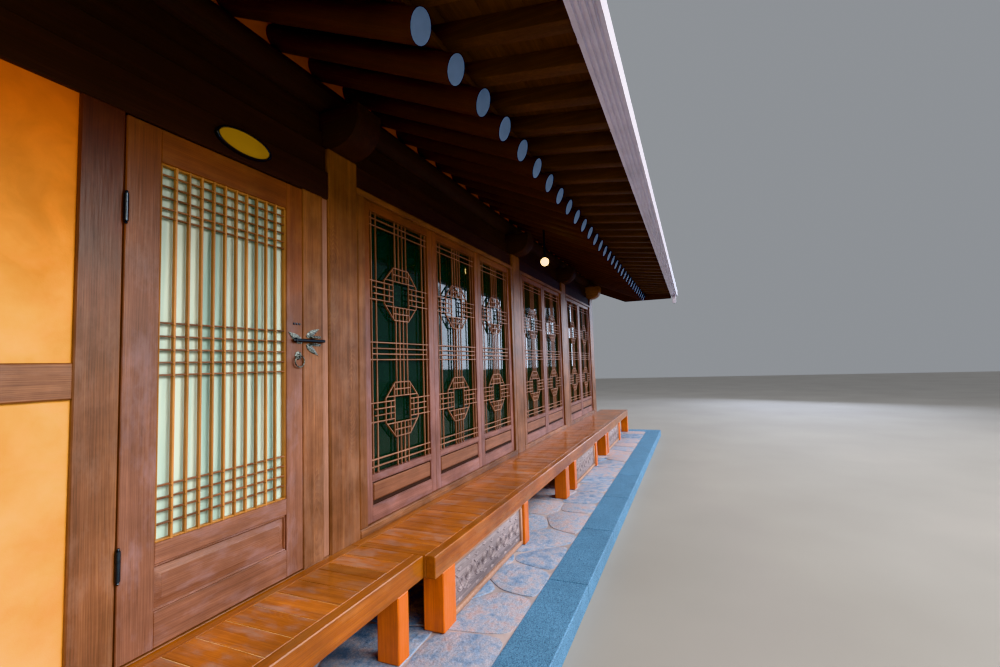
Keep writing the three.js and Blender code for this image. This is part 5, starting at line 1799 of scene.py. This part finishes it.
# %% Sign board
SIGN_STEPS = 48
SIGN_LEVELS = ((1.0, 0.0), (1.0, 0.8), (0.97, 1.0), (0.93, 1.0), (0.9, 0.72))
sign_x, sign_y, sign_z = limits("sign_board")
sign = Workbench(seed=96)
sign_rings = []
for share, lift in SIGN_LEVELS:
    half_x = share * (sign_x[1] - sign_x[0]) / 2
    half_z = (1.6 * share - 0.6) * (sign_z[1] - sign_z[0]) / 2
    depth = sign_y[1] - lift * (sign_y[1] - sign_y[0])
    sign_rings.append([(sum(sign_x) / 2 + math.cos(angle) * half_x, depth,
                        sum(sign_z) / 2 + math.sin(angle) * half_z) for angle in circle(SIGN_STEPS)])
sign.loft(sign_rings, (0, 0, 1), 0.5)
sign.finish("oval_sign_board", [black_iron, sign_paint], ["sign_board"], slot="lattice_timber", smooth=40)

# %% Lamp
GLOBE = 45
GLOBE_STEPS = 14
lamp_x, lamp_y, lamp_z = limits("lamp")
lamp_spot = (sum(lamp_x) / 2, sum(lamp_y) / 2, lamp_z[0] + GLOBE)
lamp = Workbench(seed=97)
turns = [math.pi * i / GLOBE_STEPS for i in range(GLOBE_STEPS + 1)]
lamp.turned(lamp_spot, UP, [(-GLOBE * math.cos(turn), GLOBE * math.sin(turn)) for turn in turns], 28)
cap = [(0.8 * GLOBE, 20), (1.15 * GLOBE, 19), (1.2 * GLOBE, 12), (lamp_z[1] - lamp_spot[2] - 1, 12)]
lamp.turned(lamp_spot, UP, cap, 20, 1)
lamp.finish("globe_lamp", [opal_bulb, black_iron], ["lamp"], slot="lamp_glass")

# %% [markdown]
# ## Floor, light and camera
#
# A plain pale floor and soft light from large panels, as in a photo studio. The camera
# stands close to the front and looks along it with a wide lens, held a little askew.
# Places are in metres here.

# %% Floor
FLOOR_SPAN = (-40.0, 40.0)
floor_mesh = bpy.data.meshes.new("studio_floor")
floor_mesh.from_pydata([(x, y, 0) for x, y in rectangle(FLOOR_SPAN, FLOOR_SPAN)], [], [(0, 1, 2, 3)])
floor_mesh.materials.append(floor_finish)
studio_floor = bpy.data.objects.new("studio_floor", floor_mesh)
studio_floor.location.z = -1 * MM
bpy.context.scene.collection.objects.link(studio_floor)

# %% Light
SUN_RISE = math.radians(21)
SUN_TURN = math.radians(14)
world = bpy.data.worlds.new("soft_sky")
bpy.context.scene.world = world
world.use_nodes = True
sky = world.node_tree.nodes["Background"].inputs
sky["Color"].default_value = linear("#E8EDF4")
sky["Strength"].default_value = 0.38
bpy.context.scene.view_settings.view_transform = "Khronos PBR Neutral"


def heading(turn, rise):
    """The direction that turns from X towards Y and rises."""
    return Vector((math.cos(turn) * math.cos(rise), math.sin(turn) * math.cos(rise), math.sin(rise)))


def hang_light(name, kind, ahead, strength, colour, spot=(0, 0, 0)):
    data = bpy.data.lights.new(name, kind)
    data.energy = strength
    data.color = linear(colour)[:3]
    light = bpy.data.objects.new(name, data)
    light.location = spot
    light.rotation_euler = ahead.to_track_quat("-Z", "Y").to_euler()
    bpy.context.scene.collection.objects.link(light)
    return data


def panel_light(name, spot, aim, size, watts, colour):
    panel = hang_light(name, "AREA", Vector(aim) - Vector(spot), watts, colour, spot)
    panel.shape = "RECTANGLE"
    panel.size, panel.size_y = size


sun = hang_light("soft_sun", "SUN", heading(math.pi / 2 + SUN_TURN, -SUN_RISE), 2.25, "#FFFAF4")
sun.angle = math.radians(26)
panel_light("front_panel", (0.0, -9.5, 7.6), (0.0, -2.2, 1.0), (18.0, 4.0), 1400, "#FFFBF6")
panel_light("low_panel", (-8.5, -8.5, 3.4), (-2.5, -2.2, 1.3), (6.0, 4.0), 190, "#FFDDB4")
panel_light("back_panel", (3.0, 14.0, 9.0), (0.0, 0.0, 1.5), (14.0, 8.0), 1500, "#EAF1FF")
panel_light("far_panel", (14.0, -7.5, 3.4), (2.0, -2.2, 1.0), (6.0, 4.0), 330, "#DDE8FF")

# %% Camera
CAMERA_SPOT = (-4.67, -4.131, 1.582)
CAMERA_YAW = math.radians(22.55)
CAMERA_RISE = math.radians(3.90)
CAMERA_ROLL = math.radians(-1.824)
ahead = heading(CAMERA_YAW, CAMERA_RISE)
level_right = ahead.cross(Vector(UP)).normalized()
level_up = level_right.cross(ahead)
right = level_right * math.cos(CAMERA_ROLL) + level_up * math.sin(CAMERA_ROLL)
up = level_up * math.cos(CAMERA_ROLL) - level_right * math.sin(CAMERA_ROLL)
lens = bpy.data.cameras.new("camera")
lens.sensor_width = 36.0
lens.lens = 16.68
lens.clip_start = 0.05
camera = bpy.data.objects.new("camera", lens)
camera.matrix_world = Matrix.Translation(CAMERA_SPOT) @ Matrix((right, up, -ahead)).transposed().to_4x4()
bpy.context.scene.collection.objects.link(camera)
bpy.context.scene.camera = camera
